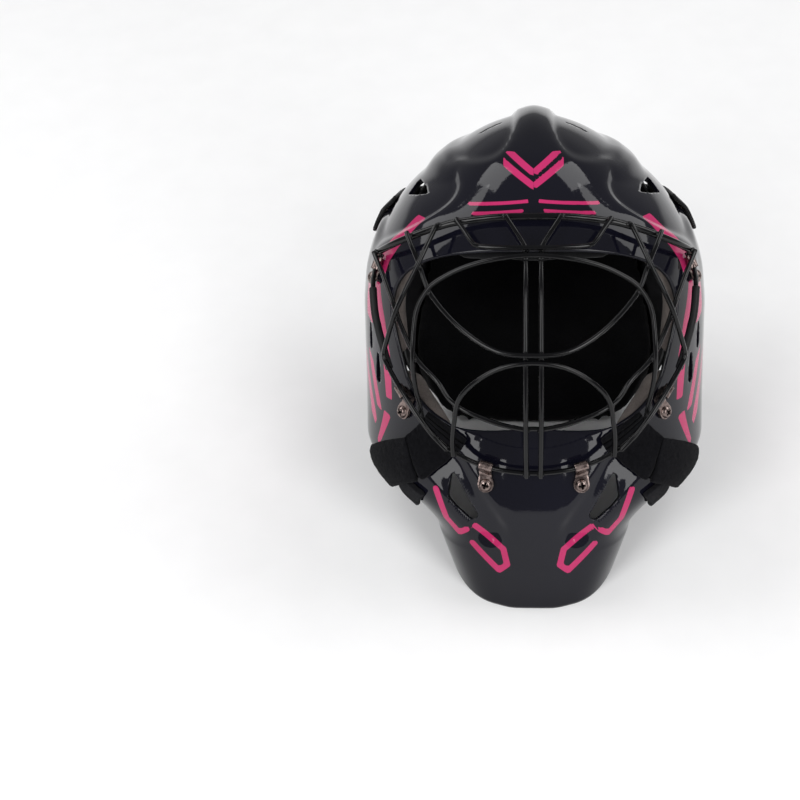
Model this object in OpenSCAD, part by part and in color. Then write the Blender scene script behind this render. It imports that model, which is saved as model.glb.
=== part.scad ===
// Goalkeeper mask: a moulded shell with a wire face cage, foam lining, hook-and-loop straps,
// a sprung back plate and a chin cup.
// The form is worked out in a head frame: x sideways (+x is the wearer's left), -y the way the
// face looks, +z up, with the origin at eye level in the middle of the head. The whole is then
// leaned back until it stands on the lower rim of its own shell.

/* [Shell] */
// Half width of the shell at the cheeks
shell_half_w = 118; // [110:1:126]
// Height of the dome above eye level
crown_h = 126; // [118:1:134]
// Depth from the middle of the head to the front of the shell
face_depth = 121; // [114:1:128]
// Depth from the middle of the head to the back plate
rear_depth = 118; // [112:1:126]
// Depth of the chin's lower edge below eye level
chin_drop = 186; // [178:1:194]
// Half width of the chin box
chin_half_w = 68; // [62:1:74]
// Wall of the moulded shell
shell_t = 3.2; // [2.4:0.2:4.4]
// How far the shell reaches behind the middle of the head
shell_rear = 62; // [54:1:70]
// Angle that the lower rim rises at, and that the mask leans back by when it stands
lean = 25; // [20:1:29]

/* [Face opening] */
// Half width of the face opening
opening_half_w = 94; // [88:1:97]
// Height of the brow edge above eye level
brow_h = 58; // [54:1:62]
// Drop of the chin edge below eye level
chin_edge_drop = 63; // [58:1:67]
// Height of the lip that leans back along the chin edge
chin_lip_h = 8; // [5:1:10]

/* [Sculpting] */
// Height of the ridge along the crown, above the scoops beside it
crown_ridge_h = 2; // [1:0.5:4]
// Depth of the scoops in the dome
scoop_depth = 3; // [1.5:0.5:4]
// Depth of the flutes down the dome's shoulders
flute_depth = 4; // [2:0.5:5]
// Depth of the dishes round the chin slots
dish_depth = 4; // [2:0.5:5]

/* [Cage] */
// Diameter of the cage wires
wire_d = 3.2; // [2.8:0.2:4]
// Diameter of the top bar
top_bar_d = 4.6; // [4:0.2:5.6]
// Height of the wires' centre lines over the shell at the rim
cage_stand = 8.5; // [7.5:0.5:10]
// Extra height of the cage over the middle of the face
cage_bow = 21; // [14:1:28]
// Distance between the two upright bars
bar_spacing = 9; // [8:0.5:14]
// Outer diameter of the rubber sleeves on the cage's sides
sleeve_d = 6.4; // [5.6:0.2:7.2]

/* [Clips] */
// Length of each clip's loop along the wire
clip_w = 8.5; // [7:0.5:10]
// Thickness of the clip's steel strip
clip_t = 1.2; // [0.8:0.1:1.6]
// Diameter of the clip screws
screw_d = 4; // [3:0.5:5]
// Diameter of the screws' pan heads
screw_head_d = 8.4; // [7:0.2:9.6]

/* [Padding] */
// Thickness of the brow and crown foam
pad_t = 12; // [8:1:15]
// Thickness of the foam at the temples
side_pad_t = 14; // [10:1:16]
// Gap between the foam and the shell
pad_gap = 0.8; // [0.6:0.1:1]
// Gap between flat pieces that lie on each other
seat_gap = 0.3; // [0.2:0.1:0.5]

/* [Straps] */
// Width of the hook-and-loop jaw straps
jaw_strap_w = 33; // [28:1:36]
// Thickness of the jaw straps
jaw_strap_t = 2.6; // [2:0.2:3.4]
// Width of the elastic straps to the back plate
elastic_w = 30; // [24:1:34]
// Thickness of the elastic straps
elastic_t = 2.4; // [1.8:0.2:3]
// Diameter of the strap rivets' heads
rivet_head_d = 10; // [8:0.5:12]

/* [Back plate] */
// Wall of the back plate
plate_t = 3; // [2.4:0.2:4]
// Half width of the back plate
plate_half_w = 101; // [92:1:103]
// Height of the back plate's upper edge above eye level
plate_top = 105; // [96:1:107]
// How far the back of the form curves in towards the nape
nape_in = 44; // [36:1:46]
// How much thicker the back foam is at the nape
nape_roll = 1.15; // [0.8:0.05:1.2]

/* [Hidden] */

shell_color = "#17181c";
wire_color = "#0e0e10";
foam_color = "#4a4a4e";
strap_color = "#121214";
clip_color = "#7d6a66";
plastic_color = "#1c1c1f";

// The layout of wires, slots and straps is drawn for these sizes and follows the form when it changes.
drawn_half_w = 118;
drawn_crown = 126;
drawn_chin = 186;

steps = 18;        // halvings in each search for the surface
shell_cols = 76;   // shell facets round the face
shell_rows = 14;   // shell facets from the opening to the edge
wire_sides = 8;
wire_steps = 2;    // rings between two route points
weld_gap = 0.12;   // between wires that cross, where the weld lies
jaw_low = -145 * chin_drop / drawn_chin;
jaw_high = -86 * chin_drop / drawn_chin;
chin_front = -110; // y of the chin's lower edge
corner_r = 34;     // softness of the jaw corner

// Small helpers
function unit(v) = v / norm(v);
function mix(a, b, t) = a + (b - a) * t;
function clamp(t) = min(1, max(0, t));
function ease(t) = let (c = clamp(t)) c * c * (3 - 2 * c);
function bell(t) = exp(-t * t);
function flip(p) = [-p.x, p.y, p.z];
function lay_x(x) = x * shell_half_w / drawn_half_w;
function lay_z(z) = z > 0 ? z * crown_h / drawn_crown : z * chin_drop / drawn_chin;

// Level sections of the form: half width, front depth and squareness at height z
function half_w(z) = z > 0
  ? shell_half_w * pow(1 - pow(min(z / crown_h, 0.9999), 1.8), 1 / 1.8)
  : chin_half_w + (shell_half_w - chin_half_w) * ease((z - jaw_low) / (jaw_high - jaw_low))
    + 0.35 * min(0, z - jaw_low);
function front_d(z) = z > 0
  ? face_depth * pow(1 - pow(min(z / crown_h, 0.9999), 2.2), 1 / 2.2)
  : face_depth + 4 * bell((z + 105) / 32) - 9 * pow(max(0, -z - 110) / 76, 2);
function rear_d(z) = z > 0 ? rear_depth * pow(1 - pow(min(z / crown_h, 0.9999), 2.2), 1 / 2.2)
  : rear_depth - nape_in * ease(-z / 95);
function squareness(z) = 2.3 + 1.3 * ease((-z - 60) / 100);
function form(p) = let (n = squareness(p.z), b = p.y < 0 ? front_d(p.z) : rear_d(p.z))
  pow(abs(p.x) / half_w(p.z), n) + pow(abs(p.y) / b, n) - 1;

// Sculpting, as a height over the form at point p
function chin_dish(x, z) = let (a = [56, -86], b = [29, -128], q = [x, z] - a, ab = b - a,
  t = clamp(q * ab / (ab * ab))) norm(q - t * ab);
function sculpt(p) = let (
    x = abs(p.x) * drawn_half_w / shell_half_w,
    z = p.z > 0 ? p.z * drawn_crown / crown_h : p.z * drawn_chin / chin_drop,
    front_scoop = ease((z - 103 - 15.5 * exp((19 - max(x, 8)) / 8)) / 9),
    side_line = 48 + 60 * ease((95 - z) / 60) + max(0, z - 95) * 0.5,
    side_scoop = ease(min(x - side_line + 2, 103 - 0.3 * (x - 52) - z) / 9),
    raised = scoop_depth * ease(z / 50) * (1 - front_scoop) * (1 - side_scoop),
    ridge = crown_ridge_h * bell(x / 15) * ease((p.y + 60) / 45) * ease((z - 60) / 30),
    flute = -flute_depth * bell((x - 62) / 28) * ease((z - 70) / 25),
    lip_line = 0.005 * x * x - chin_edge_drop - chin_lip_h,
    lip = -1.1 * min(10, max(0, z - lip_line)) * ease((-z - 40) / 12) * ease((-p.y - 60) / 30),
    dish = -dish_depth * (1 - ease((chin_dish(x, z) - 4) / 12)) * ease((-p.y - 60) / 30),
    stripe = 1.2 * (1 - ease((x - 21) / 6)) * ease((-z - 70) / 10))
  raised + ridge + flute + lip + dish + stripe;

// The outer surface along a direction from the middle of the head, and its outward normal
function hit(d, low, high, n) = n == 0 ? (low + high) / 2
  : let (m = (low + high) / 2) form(m * d) < 0 ? hit(d, m, high, n - 1) : hit(d, low, m, n - 1);
function skin(d) = let (top = d.z > 0.01 ? crown_h * 0.9999 / d.z : 260,
  r = hit(d, 20, min(260, top), steps)) d * (r + sculpt(r * d));
function skin_normal(d) = let (
    a = unit(cross(d, abs(d.x) < 0.7 ? [1, 0, 0] : [0, 1, 0])), b = cross(d, a), p = skin(d),
    n = unit(cross(skin(unit(d + 0.01 * a)) - p, skin(unit(d + 0.01 * b)) - p)))
  n * d < 0 ? -n : n;
function facing(rho, u) = [sin(rho) * cos(u), -cos(rho), sin(rho) * sin(u)];

// The face side of the plain form at front-view point x, z
function face_y(x, z) = let (n = squareness(z))
  -front_d(z) * pow(max(0, 1 - pow(abs(x) / half_w(z), n)), 1 / n);
function face_point(x, z) = [x, face_y(x, z), z];
function side_point(y, z) = let (n = squareness(z), b = y < 0 ? front_d(z) : rear_d(z))
  [half_w(z) * pow(max(0, 1 - pow(abs(y) / b, n)), 1 / n), y, z];
function form_normal(p) = let (h = 0.05) unit([
  form(p + [h, 0, 0]) - form(p - [h, 0, 0]),
  form(p + [0, h, 0]) - form(p - [0, h, 0]),
  form(p + [0, 0, h]) - form(p - [0, 0, h])]);

// Edges of the shell: the opening's outline, the level it stands on and its rear edge
function opening_r(u) = let (
    a = opening_half_w - 6 * ease(0.4 - asin(sin(u)) / 25), b = sin(u) > 0 ? brow_h : chin_edge_drop)
  pow(pow(abs(cos(u)) / a, 2.8) + pow(abs(sin(u)) / b, 2.8), -1 / 2.8);
function opening_rho(u) = let (r = opening_r(u), x = r * cos(u), z = r * sin(u)) atan2(r, -face_y(x, z));
rim_up = [0, -sin(lean), cos(lean)];
function over_rim(p) = (p - [0, chin_front, -chin_drop]) * rim_up;
function soft_max(a, b) = let (h = max(corner_r - abs(a - b), 0) / corner_r)
  max(a, b) + h * h * corner_r / 4;
function past_edge(p) = soft_max(p.y - shell_rear + 0.32 * nape_in * ease(-p.z / 55), -over_rim(p));
function edge_rho(u, low, high, n) = let (m = (low + high) / 2) n == 0 ? m
  : past_edge(skin(facing(m, u))) < 0 ? edge_rho(u, m, high, n - 1) : edge_rho(u, low, m, n - 1);
function edge_out(p) = let (h = 0.05) unit([0,
  past_edge(p + [0, h, 0]) - past_edge(p - [0, h, 0]),
  past_edge(p + [0, 0, h]) - past_edge(p - [0, 0, h])]);

// A closed solid from points and triangles, with its faces turned outward
module solid(points, faces) {
  volumes = [for (f = faces) cross(points[f[0]], points[f[1]]) * points[f[2]]];
  outward = volumes * [for (f = faces) 1] < 0;
  polyhedron(points, outward ? faces : [for (f = faces) [f[2], f[1], f[0]]], convexity = 8);
}
function fan(ids) = [for (k = [1 : len(ids) - 2]) [ids[0], ids[k], ids[k + 1]]];

// Splits a four-sided facet along the diagonal that stands out further
function split(p, a, b, c, d) = norm(p[a] + p[c]) >= norm(p[b] + p[d])
  ? [[a, b, c], [a, c, d]] : [[a, b, d], [b, c, d]];

// Two grids of points joined into one closed slab; closed grids run all the way round
module slab(top, bottom, closed = false) {
  rows = len(top);
  cols = len(top[0]);
  last = closed ? cols - 1 : cols - 2;
  low = rows * cols;
  function at(i, j) = i * cols + j % cols;
  points = concat([for (row = top) each row], [for (row = bottom) each row]);
  faces = concat(
    [for (i = [0 : rows - 2], j = [0 : last])
      each split(points, at(i, j), at(i + 1, j), at(i + 1, j + 1), at(i, j + 1))],
    [for (i = [0 : rows - 2], j = [0 : last])
      each split(points, low + at(i, j + 1), low + at(i + 1, j + 1), low + at(i + 1, j), low + at(i, j))],
    [for (j = [0 : last]) each
      [[at(0, j), at(0, j + 1), low + at(0, j + 1)], [at(0, j), low + at(0, j + 1), low + at(0, j)],
       [at(rows - 1, j), low + at(rows - 1, j + 1), at(rows - 1, j + 1)],
       [at(rows - 1, j), low + at(rows - 1, j), low + at(rows - 1, j + 1)]]],
    closed ? [] : [for (i = [0 : rows - 2]) each
      [[at(i, 0), low + at(i + 1, 0), at(i + 1, 0)], [at(i, 0), low + at(i, 0), low + at(i + 1, 0)],
       [at(i, cols - 1), at(i + 1, cols - 1), low + at(i + 1, cols - 1)],
       [at(i, cols - 1), low + at(i + 1, cols - 1), low + at(i, cols - 1)]]]);
  solid(points, faces);
}

// Routes: a smooth curve through its points, and a round tube along it
function curve(p, t) = let (n = len(p) - 1, i = min(floor(t), n - 1), f = t - i,
    a = p[i], b = p[i + 1], before = i > 0 ? p[i - 1] : 2 * a - b,
    after = i < n - 1 ? p[i + 2] : 2 * b - a)
  0.5 * (2 * a + (b - before) * f + (2 * before - 5 * a + 4 * b - after) * f * f
    + (3 * a - before - 3 * b + after) * f * f * f);
function sampled(p, k) = [for (s = [0 : (len(p) - 1) * k]) curve(p, s / k)];
function tangent(path, i) = unit(path[min(i + 1, len(path) - 1)] - path[max(i - 1, 0)]);
function rings(path, outs, r) = [for (i = [0 : len(path) - 1]) let (t = tangent(path, i),
    b = unit(cross(t, outs[i])), a = cross(b, t))
  [for (k = [0 : wire_sides - 1]) let (w = 360 * (k + 0.5) / wire_sides)
    path[i] + r / cos(180 / wire_sides) * (cos(w) * a + sin(w) * b)]];
module tube(rings) {
  n = len(rings);
  k_max = len(rings[0]) - 1;
  function at(i, k) = i * (k_max + 1) + k % (k_max + 1);
  solid([for (ring = rings) each ring], concat(
    fan([for (k = [k_max : -1 : 0]) k]),
    [for (i = [0 : n - 2], k = [0 : k_max])
      each [[at(i, k), at(i, k + 1), at(i + 1, k + 1)], [at(i, k), at(i + 1, k + 1), at(i + 1, k)]]],
    fan([for (k = [0 : k_max]) at(n - 1, k)])));
}

// A cage route point is [x, z, layer]: its foot on the form, and how many wires it lies outward
function bow(x, z) = cage_bow * max(0, 1 - pow(x / 96, 2)) * max(0, 1 - pow((z + 6) / 80, 2));
function foot(w) = face_point(lay_x(w[0]), lay_z(w[1]));
function wire_point(w) = let (f = foot(w)) f + form_normal(f) * (cage_stand + bow(w[0], w[1]) + w[2] * (wire_d + weld_gap));
function both_sides(w) = concat([for (i = [len(w) - 1 : -1 : 1]) [-w[i][0], w[i][1], w[i][2]]], w);
function one_side(w, s) = [for (p = w) [s * p[0], p[1], p[2]]];
function wire_rings(route, d) = let (feet = sampled(route, wire_steps))
  rings([for (w = feet) wire_point(w)], [for (w = feet) form_normal(foot(w))], d / 2);
module wire(route, d = wire_d) { tube(wire_rings(route, d)); }
module wire_part(route, from, to) {
  whole = wire_rings(route, wire_d);
  tube([for (i = [from : to]) whole[i]]);
}

// Routes of the cage, from the middle outward or from the top down
top_bar_route = [[0, 76, 0.3], [24, 75, 0.3], [44, 71, 0.3], [57, 66, 0.3], [71, 59, 0.3], [85, 51, 0.3], [96, 44, 0.2]];
rim_route = [[96, 44, -1], [98.2, 38, -0.6], [99, 32, -0.25], [99, 25, 0], [97, 6, 0], [91, -9, 0],
  [85, -23, 0], [78, -35, -0.3], [68, -47, 0], [60, -58, 0], [51, -69, 0], [41, -76, -0.3],
  [30, -80.5, -0.6], [15, -83, 0], [0, -84, 0]];
rim_split = 9 * wire_steps;
sleeve_from = 3 * wire_steps;
sleeve_to = 6 * wire_steps;
side_wire_route = [[54, 67, 1.5], [64, 44, 1.1], [71, 30, 1], [78, 15, 1], [84.5, -4, 1.1], [86, -13, 1.2],
  [83, -19, 1.1], [78, -26, 1.1], [70, -38, 1.1], [60, -55, 1], [50.5, -70, 1]];
upper_loop_route = [[0, 2.5, 1], [19, 4, 0.7], [38, 14, 0.2], [56, 30, 0], [64, 44, 0], [71, 60, 1.65]];
lower_loop_route = [[0, -49, 0], [8, -49, 0], [25, -44, 0], [44, -34, 0], [53, -20, 0], [65, -8, 0],
  [76, 10, 0], [80, 18, 0], [88, 33, 0.4], [94, 44, 1.4]];
arch_route = [[0, 54, 1], [20, 52, 1], [37, 47, 1], [51, 39, 1], [58, 32, 1], [63, 22, 1], [65, 9, 1],
  [66, -10, 1], [67, -27, 0], [67, -41, -1], [66, -53, -1]];
mouth_arch_route = [[0, -2, 1], [16, -5, 1], [29, -14, 1], [40, -29, 1], [44, -48, 1], [46, -62, 1], [47, -74, 1]];
bar_route = [[4.5, -86, 1.1], [4.5, -70, 1], [4.5, -49, 1], [4.5, -22, 0.3], [4.5, 2, 0], [4.5, 30, 0],
  [4.5, 54, 0], [5.4, 60, 0.1], [16, 75, 1.5]];
brow_wire_route = [[0, 58, 1], [24, 58, 1], [31, 58.5, 1], [34, 60, 1], [39, 66, 1.2], [44, 71.5, 1.5]];

// Clip sites: the route point of the rim that each clip holds, and the foot of its screw
clip_sites = [[1, [103.5, 28.5]], [7, [85, -54]], [12, [31, -94]]];
rim_path = [for (w = sampled(rim_route, wire_steps)) wire_point(w)];
function screw_foot(c) = skin(unit(face_point(lay_x(c[1][0]), lay_z(c[1][1]))));
function screw_out(c) = skin_normal(unit(face_point(lay_x(c[1][0]), lay_z(c[1][1]))));
nut_seat = 1.9;
nut_t = 3;

// Places the head frame on the ground: the lower rim lies level at height 0
stand_y = 28.03;
module placed() {
  translate([0, stand_y, -([0, chin_front, -chin_drop] * rim_up)]) rotate([-lean, 0, 0]) children();
}
module sides(s) { scale([s, 1, 1]) children(); }
module stand_on(p, z_axis, x_hint) {
  x_axis = unit(x_hint - z_axis * (x_hint * z_axis));
  y_axis = cross(z_axis, x_axis);
  multmatrix([[x_axis.x, y_axis.x, z_axis.x, p.x], [x_axis.y, y_axis.y, z_axis.y, p.y],
    [x_axis.z, y_axis.z, z_axis.z, p.z], [0, 0, 0, 1]]) children();
}

// Shell
function shell_u(i) = let (t = 360 * i / shell_cols) t - 17 * cos(t);
function shell_grid() = [for (j = [0 : shell_rows]) [for (i = [0 : shell_cols - 1])
  let (u = shell_u(i), a = opening_rho(u), b = edge_rho(u, a, 150, 20)) skin(facing(mix(a, b, j / shell_rows), u))]];
module vent(spots) {
  // a slot through the wall round two or three spots [x, y, z, r] near the skin
  ends = [for (v = spots) skin(unit([v[0], v[1], v[2]]))];
  out = skin_normal(unit(ends[0] + ends[1]));
  hull() for (i = [0 : len(spots) - 1]) stand_on(ends[i] - 9 * out, out, ends[1] - ends[0])
    cylinder(h = 18, r = spots[i][3], $fn = 12);
}
module front_shell() {
  outer = shell_grid();
  cols = shell_cols;
  rows = shell_rows;
  normals = [for (j = [0 : rows]) [for (i = [0 : cols - 1]) let (
      a = outer[j][(i + 1) % cols] - outer[j][(i + cols - 1) % cols],
      b = outer[min(j + 1, rows)][i] - outer[max(j - 1, 0)][i], n = unit(cross(a, b)))
    n * outer[j][i] < 0 ? -n : n]];
  inner = [for (j = [0 : rows]) [for (i = [0 : cols - 1]) let (n = normals[j][i], p = outer[j][i],
      e = edge_out(p)) p - shell_t * (j < rows ? n : unit(n - (n * e) * e))]];
  placed() color(shell_color) difference() {
    slab(outer, inner, closed = true);
    for (s = [-1, 1]) {
      vent([[s * 24, -2, 125, 1.8], [s * 35, -6, 118, 1.8]]);
      vent([[s * 73, -48, 86, 1], [s * 83, -26, 81, 2.5], [s * 79, -15, 87, 1.5]]);
      vent([[s * 110, -52, -6, 2], [s * 110, -52, -19, 3]]);
      vent([[s * 105, -65, -24, 2], [s * 105, -65, -39, 3.5]]);
      vent([[s * 54, -118, -94, 1.5], [s * 53, -118, -106, 3.5], [s * 41, -120, -120, 3.5]]);
      for (c = clip_sites) sides(s) stand_on(screw_foot(c) - 12 * screw_out(c), screw_out(c), [0, 0, 1])
        cylinder(h = 24, d = screw_d + 0.4, $fn = 12);
      for (r = rivet_sites) sides(s) stand_on(skin(unit(r)) - 12 * skin_normal(unit(r)), skin_normal(unit(r)), [0, 0, 1])
        cylinder(h = 24, d = rivet_d + 0.4, $fn = 12);
    }
  }
}

// A crowned patch of foam under the skin, laid out from the edge of the opening: u is the angle
// round the face and r the angle outward from the edge
module pad(u, r, t, nu = 8, nr = 6, extra = 0) {
  top_at = shell_t + pad_gap + extra;
  grid = [for (j = [0 : nr]) [for (i = [0 : nu]) let (
      a = 2 * i / nu - 1, b = 2 * j / nr - 1,
      at_u = (u[0] + u[1]) / 2 + (u[1] - u[0]) / 2 * a * sqrt(1 - 0.25 * b * b),
      at_r = (r[0] + r[1]) / 2 + (r[1] - r[0]) / 2 * b * sqrt(1 - 0.25 * a * a),
      d = facing(opening_rho(at_u) + at_r, at_u))
    [skin(d), skin_normal(d), 1 - 0.35 * pow(max(abs(a), abs(b)), 4)]]];
  slab([for (row = grid) [for (g = row) g[0] - g[1] * top_at]],
    [for (row = grid) [for (g = row) g[0] - g[1] * (top_at + t * g[2])]]);
}
module nut_room() {
  for (s = [-1, 1], c = clip_sites) sides(s)
    stand_on(screw_foot(c) - (shell_t + nut_seat + nut_t + 1) * screw_out(c), screw_out(c), [0, 0, 1])
      cylinder(h = nut_t + nut_seat + 2, r = screw_d * 1.15 + 0.6, $fn = 24);
}
module brow_pad() { placed() color(foam_color) pad([44, 136], [-3, 14], pad_t, nu = 14, nr = 4); }
module crown_pad() { placed() color(foam_color) pad([56, 124], [28, 70], pad_t, nu = 12, nr = 8, extra = 0.8); }
module temple_pad(s) {
  placed() color(foam_color) difference() {
    sides(s) pad([-14, 37], [0.8, 32], side_pad_t, nu = 8, nr = 5, extra = 0.3);
    nut_room();
  }
}
module temple_pad_left() { temple_pad(1); }
module temple_pad_right() { temple_pad(-1); }
module cheek_pad(s) {
  placed() color(foam_color) difference() {
    sides(s) pad([-48, -18], [0.8, 34], side_pad_t + 9, nu = 6, nr = 5);
    nut_room();
  }
}
module cheek_pad_left() { cheek_pad(1); }
module cheek_pad_right() { cheek_pad(-1); }

// Cage
module cage_top_bar() { placed() color(wire_color) wire(both_sides(top_bar_route), top_bar_d); }
module cage_rim_side(s) { placed() color(wire_color) wire_part(one_side(rim_route, s), 0, rim_split); }
module cage_rim_left() { cage_rim_side(1); }
module cage_rim_right() { cage_rim_side(-1); }
module cage_rim_bottom() {
  n = (len(rim_route) - 1) * wire_steps;
  whole = both_sides([for (i = [len(rim_route) - 1 : -1 : 0]) rim_route[i]]);
  placed() color(wire_color) wire_part(whole, rim_split, 2 * n - rim_split);
}
module cage_side_wire(s) { placed() color(wire_color) wire(one_side(side_wire_route, s)); }
module cage_side_wire_left() { cage_side_wire(1); }
module cage_side_wire_right() { cage_side_wire(-1); }
module cage_upper_loop() { placed() color(wire_color) wire(both_sides(upper_loop_route)); }
module cage_lower_loop() { placed() color(wire_color) wire(both_sides(lower_loop_route)); }
module cage_face_arch() { placed() color(wire_color) wire(both_sides(arch_route)); }
module cage_mouth_arch() { placed() color(wire_color) wire(both_sides(mouth_arch_route)); }
module cage_brow_wire() { placed() color(wire_color) wire(both_sides(brow_wire_route)); }
module cage_upright_bars() {
  placed() color(wire_color) for (s = [-1, 1])
    wire([for (w = bar_route) [s * (w[0] - 4.5 + bar_spacing / 2), w[1], w[2]]]);
}
module rim_sleeve(s) {
  outer = wire_rings(one_side(rim_route, s), sleeve_d);
  inner = wire_rings(one_side(rim_route, s), wire_d + 0.1);
  placed() color(plastic_color) slab([for (i = [sleeve_from : sleeve_to]) outer[i]],
    [for (i = [sleeve_from : sleeve_to]) inner[i]], closed = true);
}
module rim_sleeve_left() { rim_sleeve(1); }
module rim_sleeve_right() { rim_sleeve(-1); }

// Clips: a strip bent round the wire, with both ends under the screw
clip_seat = 0.7;
clip_bore = wire_d + 0.8;
clip_r = clip_bore / 2 + clip_t;
module clip(k, s) {
  c = clip_sites[k];
  f = screw_foot(c);
  n = screw_out(c);
  i = c[0] * wire_steps;
  along = tangent(rim_path, i);
  w = (2 * rim_path[i] + rim_path[i - 1] + rim_path[i + 1]) / 4;
  placed() sides(s) color(clip_color) difference() {
    union() {
      stand_on(w - along * clip_w / 2, along, n) cylinder(h = clip_w, r = clip_r, $fn = 24);
      hull() {
        stand_on(f + clip_seat * n, n, along) cylinder(h = 2 * clip_t, d = screw_head_d + 2, $fn = 20);
        stand_on(w - along * clip_w / 2, along, n) translate([0.9 * clip_t - clip_r, 0, 0])
          cylinder(h = clip_w, r = 0.8 * clip_t, $fn = 12);
      }
    }
    stand_on(w - along * clip_w, along, n) cylinder(h = 2 * clip_w, d = clip_bore, $fn = 24);
    stand_on(f - 5 * n, n, along) cylinder(h = 10, d = screw_d + 0.3, $fn = 24);
    stand_on(f + (clip_seat + 2 * clip_t) * n, n, along) cylinder(h = 10, d = screw_head_d + 0.6, $fn = 24);
  }
}
module clip_temple_left() { clip(0, 1); }
module clip_temple_right() { clip(0, -1); }
module clip_jaw_left() { clip(1, 1); }
module clip_jaw_right() { clip(1, -1); }
module clip_chin_left() { clip(2, 1); }
module clip_chin_right() { clip(2, -1); }
module clip_screw() {
  head_h = screw_head_d * 0.3;
  difference() {
    union() {
      translate([0, 0, -shell_t - nut_t]) cylinder(h = shell_t + nut_t + clip_seat + 2 * clip_t + 0.4, d = screw_d, $fn = 24);
      translate([0, 0, clip_seat + 2 * clip_t + 0.1]) intersection() {
        cylinder(h = head_h, d = screw_head_d, $fn = 32);
        translate([0, 0, head_h - screw_head_d]) sphere(d = 2 * screw_head_d, $fn = 48);
      }
    }
    for (a = [0, 90]) rotate(a) translate([-screw_head_d * 0.32, -0.5, clip_seat + 2 * clip_t + head_h - 1.1])
      cube([screw_head_d * 0.64, 1, 4]);
  }
}
module clip_screws() {
  placed() color(clip_color) for (s = [-1, 1], c = clip_sites)
    sides(s) stand_on(screw_foot(c), screw_out(c), [0, 0, 1]) clip_screw();
}
module clip_nuts() {
  placed() color("#8c8c90") for (s = [-1, 1], c = clip_sites)
    sides(s) stand_on(screw_foot(c) - (shell_t + nut_seat + nut_t) * screw_out(c), screw_out(c), [0, 0, 1])
      difference() {
        cylinder(h = nut_t, r = screw_d * 1.15, $fn = 6);
        translate([0, 0, -1]) cylinder(h = nut_t + 2, d = screw_d + 0.1, $fn = 24);
      }
}

// Back plate: a cap of the same form behind the shell
plate_low = -(chin_drop - (rear_depth - nape_in - chin_front) * tan(lean)) + 1.5;
function plate_outline(u) = let (m = sin(u) > 0 ? 1.95 : 4, b = sin(u) > 0 ? plate_top : -plate_low)
  pow(pow(abs(cos(u)) / plate_half_w, m) + pow(abs(sin(u)) / b, m), -1 / m);
function rear_y(x, z) = let (n = squareness(z)) rear_d(z) * pow(max(0, 1 - pow(abs(x) / half_w(z), n)), 1 / n);
function plate_dir(u, t) = let (r = plate_outline(u) * t, x = r * cos(u), z = r * sin(u)) unit([x, rear_y(x, z), z]);
module rear_cap(size, depth, t, cols = 24, rows = 5, crown = 0, roll = 0) {
  // roll thickens the cap towards the nape and hangs its inner edge down to the height of the outer one
  grid = [for (j = [0 : rows]) [for (i = [0 : cols - 1]) let (u = 360 * (i + 0.5) / cols,
    d = plate_dir(u, mix(size, 0.98, roll == 0 ? 0 : ease(-1.5 * sin(u))) * (0.04 + 0.96 * j / rows)), q = skin(d),
    near = roll == 0 ? 0 : ease((-q.z - 40) / 45), k = 1 - crown * (1 - near) * pow(j / rows, 4) + roll * near)
    [q, skin_normal(d), k, near]]];
  top = [for (row = grid) [for (g = row) g[0] - g[1] * depth - [0, 0, depth * tan(lean) * g[3]]]];
  low = [for (row = grid) [for (g = row) g[0] - g[1] * (depth + t * g[2]) - [0, 0, (depth + t * g[2]) * tan(lean) * g[3]]]];
  n = cols * (rows + 1);
  function at(j, i) = j * cols + i % cols;
  solid(concat([for (row = top) each row], [for (row = low) each row]), concat(
    [for (j = [0 : rows - 1], i = [0 : cols - 1])
      each [[at(j, i), at(j, i + 1), at(j + 1, i + 1)], [at(j, i), at(j + 1, i + 1), at(j + 1, i)]]],
    [for (j = [0 : rows - 1], i = [0 : cols - 1])
      each [[n + at(j, i), n + at(j + 1, i + 1), n + at(j, i + 1)],
            [n + at(j, i), n + at(j + 1, i), n + at(j + 1, i + 1)]]],
    [for (i = [0 : cols - 1])
      each [[at(rows, i), at(rows, i + 1), n + at(rows, i + 1)], [at(rows, i), n + at(rows, i + 1), n + at(rows, i)]]],
    fan([for (i = [cols - 1 : -1 : 0]) i]), fan([for (i = [0 : cols - 1]) n + i])));
}
module back_plate() { placed() color(plastic_color) rear_cap(1, 0, plate_t); }
module back_plate_pad() { placed() color(foam_color) 
  rear_cap(0.86, plate_t + pad_gap + 2.4, pad_t, cols = 20, rows = 5, crown = 0.4, roll = nape_roll); }

// Straps that lie on the form: a route of guide points [x, y, z, lift, width], snapped to the skin
rivet_d = 4;
strap_steps = 2;
function strap_rows(route) = let (path = sampled(route, strap_steps), n = len(path) - 1)
  [for (i = [0 : n]) let (d = unit(place(path[i])), out = skin_normal(d),
      run = place(path[min(i + 1, n)]) - place(path[max(i - 1, 0)]), over = unit(cross(run, out)))
    [for (j = [0 : 4]) let (q = unit(skin(d) + over * path[i][4] * (j / 4 - 0.5)))
      [skin(q), out, path[i][3], unit(run)]]];
function place(q) = [q[0], q[1], q[2]];
module strap(rows, t) {
  slab([for (row = rows) [for (g = row) g[0] + g[1] * (g[2] + t)]],
    [for (row = rows) [for (g = row) g[0] + g[1] * g[2]]]);
}
function guided(y, z, lift) = let (p = side_point(y, z)) [p.x, p.y, p.z, lift, elastic_w];
upper_strap_route = [guided(22, 53, 1.5), guided(42, 52, 1), guided(62, 50, 0.9), guided(80, 47, 0.8),
  guided(92, 44, 0.7), guided(101, 42, 0.7)];
lower_strap_route = [guided(24, -56, 1), guided(37, -57, 0.9), guided(50, -56, 0.9), guided(62, -53, 1.4),
  guided(71, -50, 1.7), guided(78, -47, 2.1)];
rivet_sites = [side_point(34, 52.5), side_point(35, -56.6)];
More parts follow.
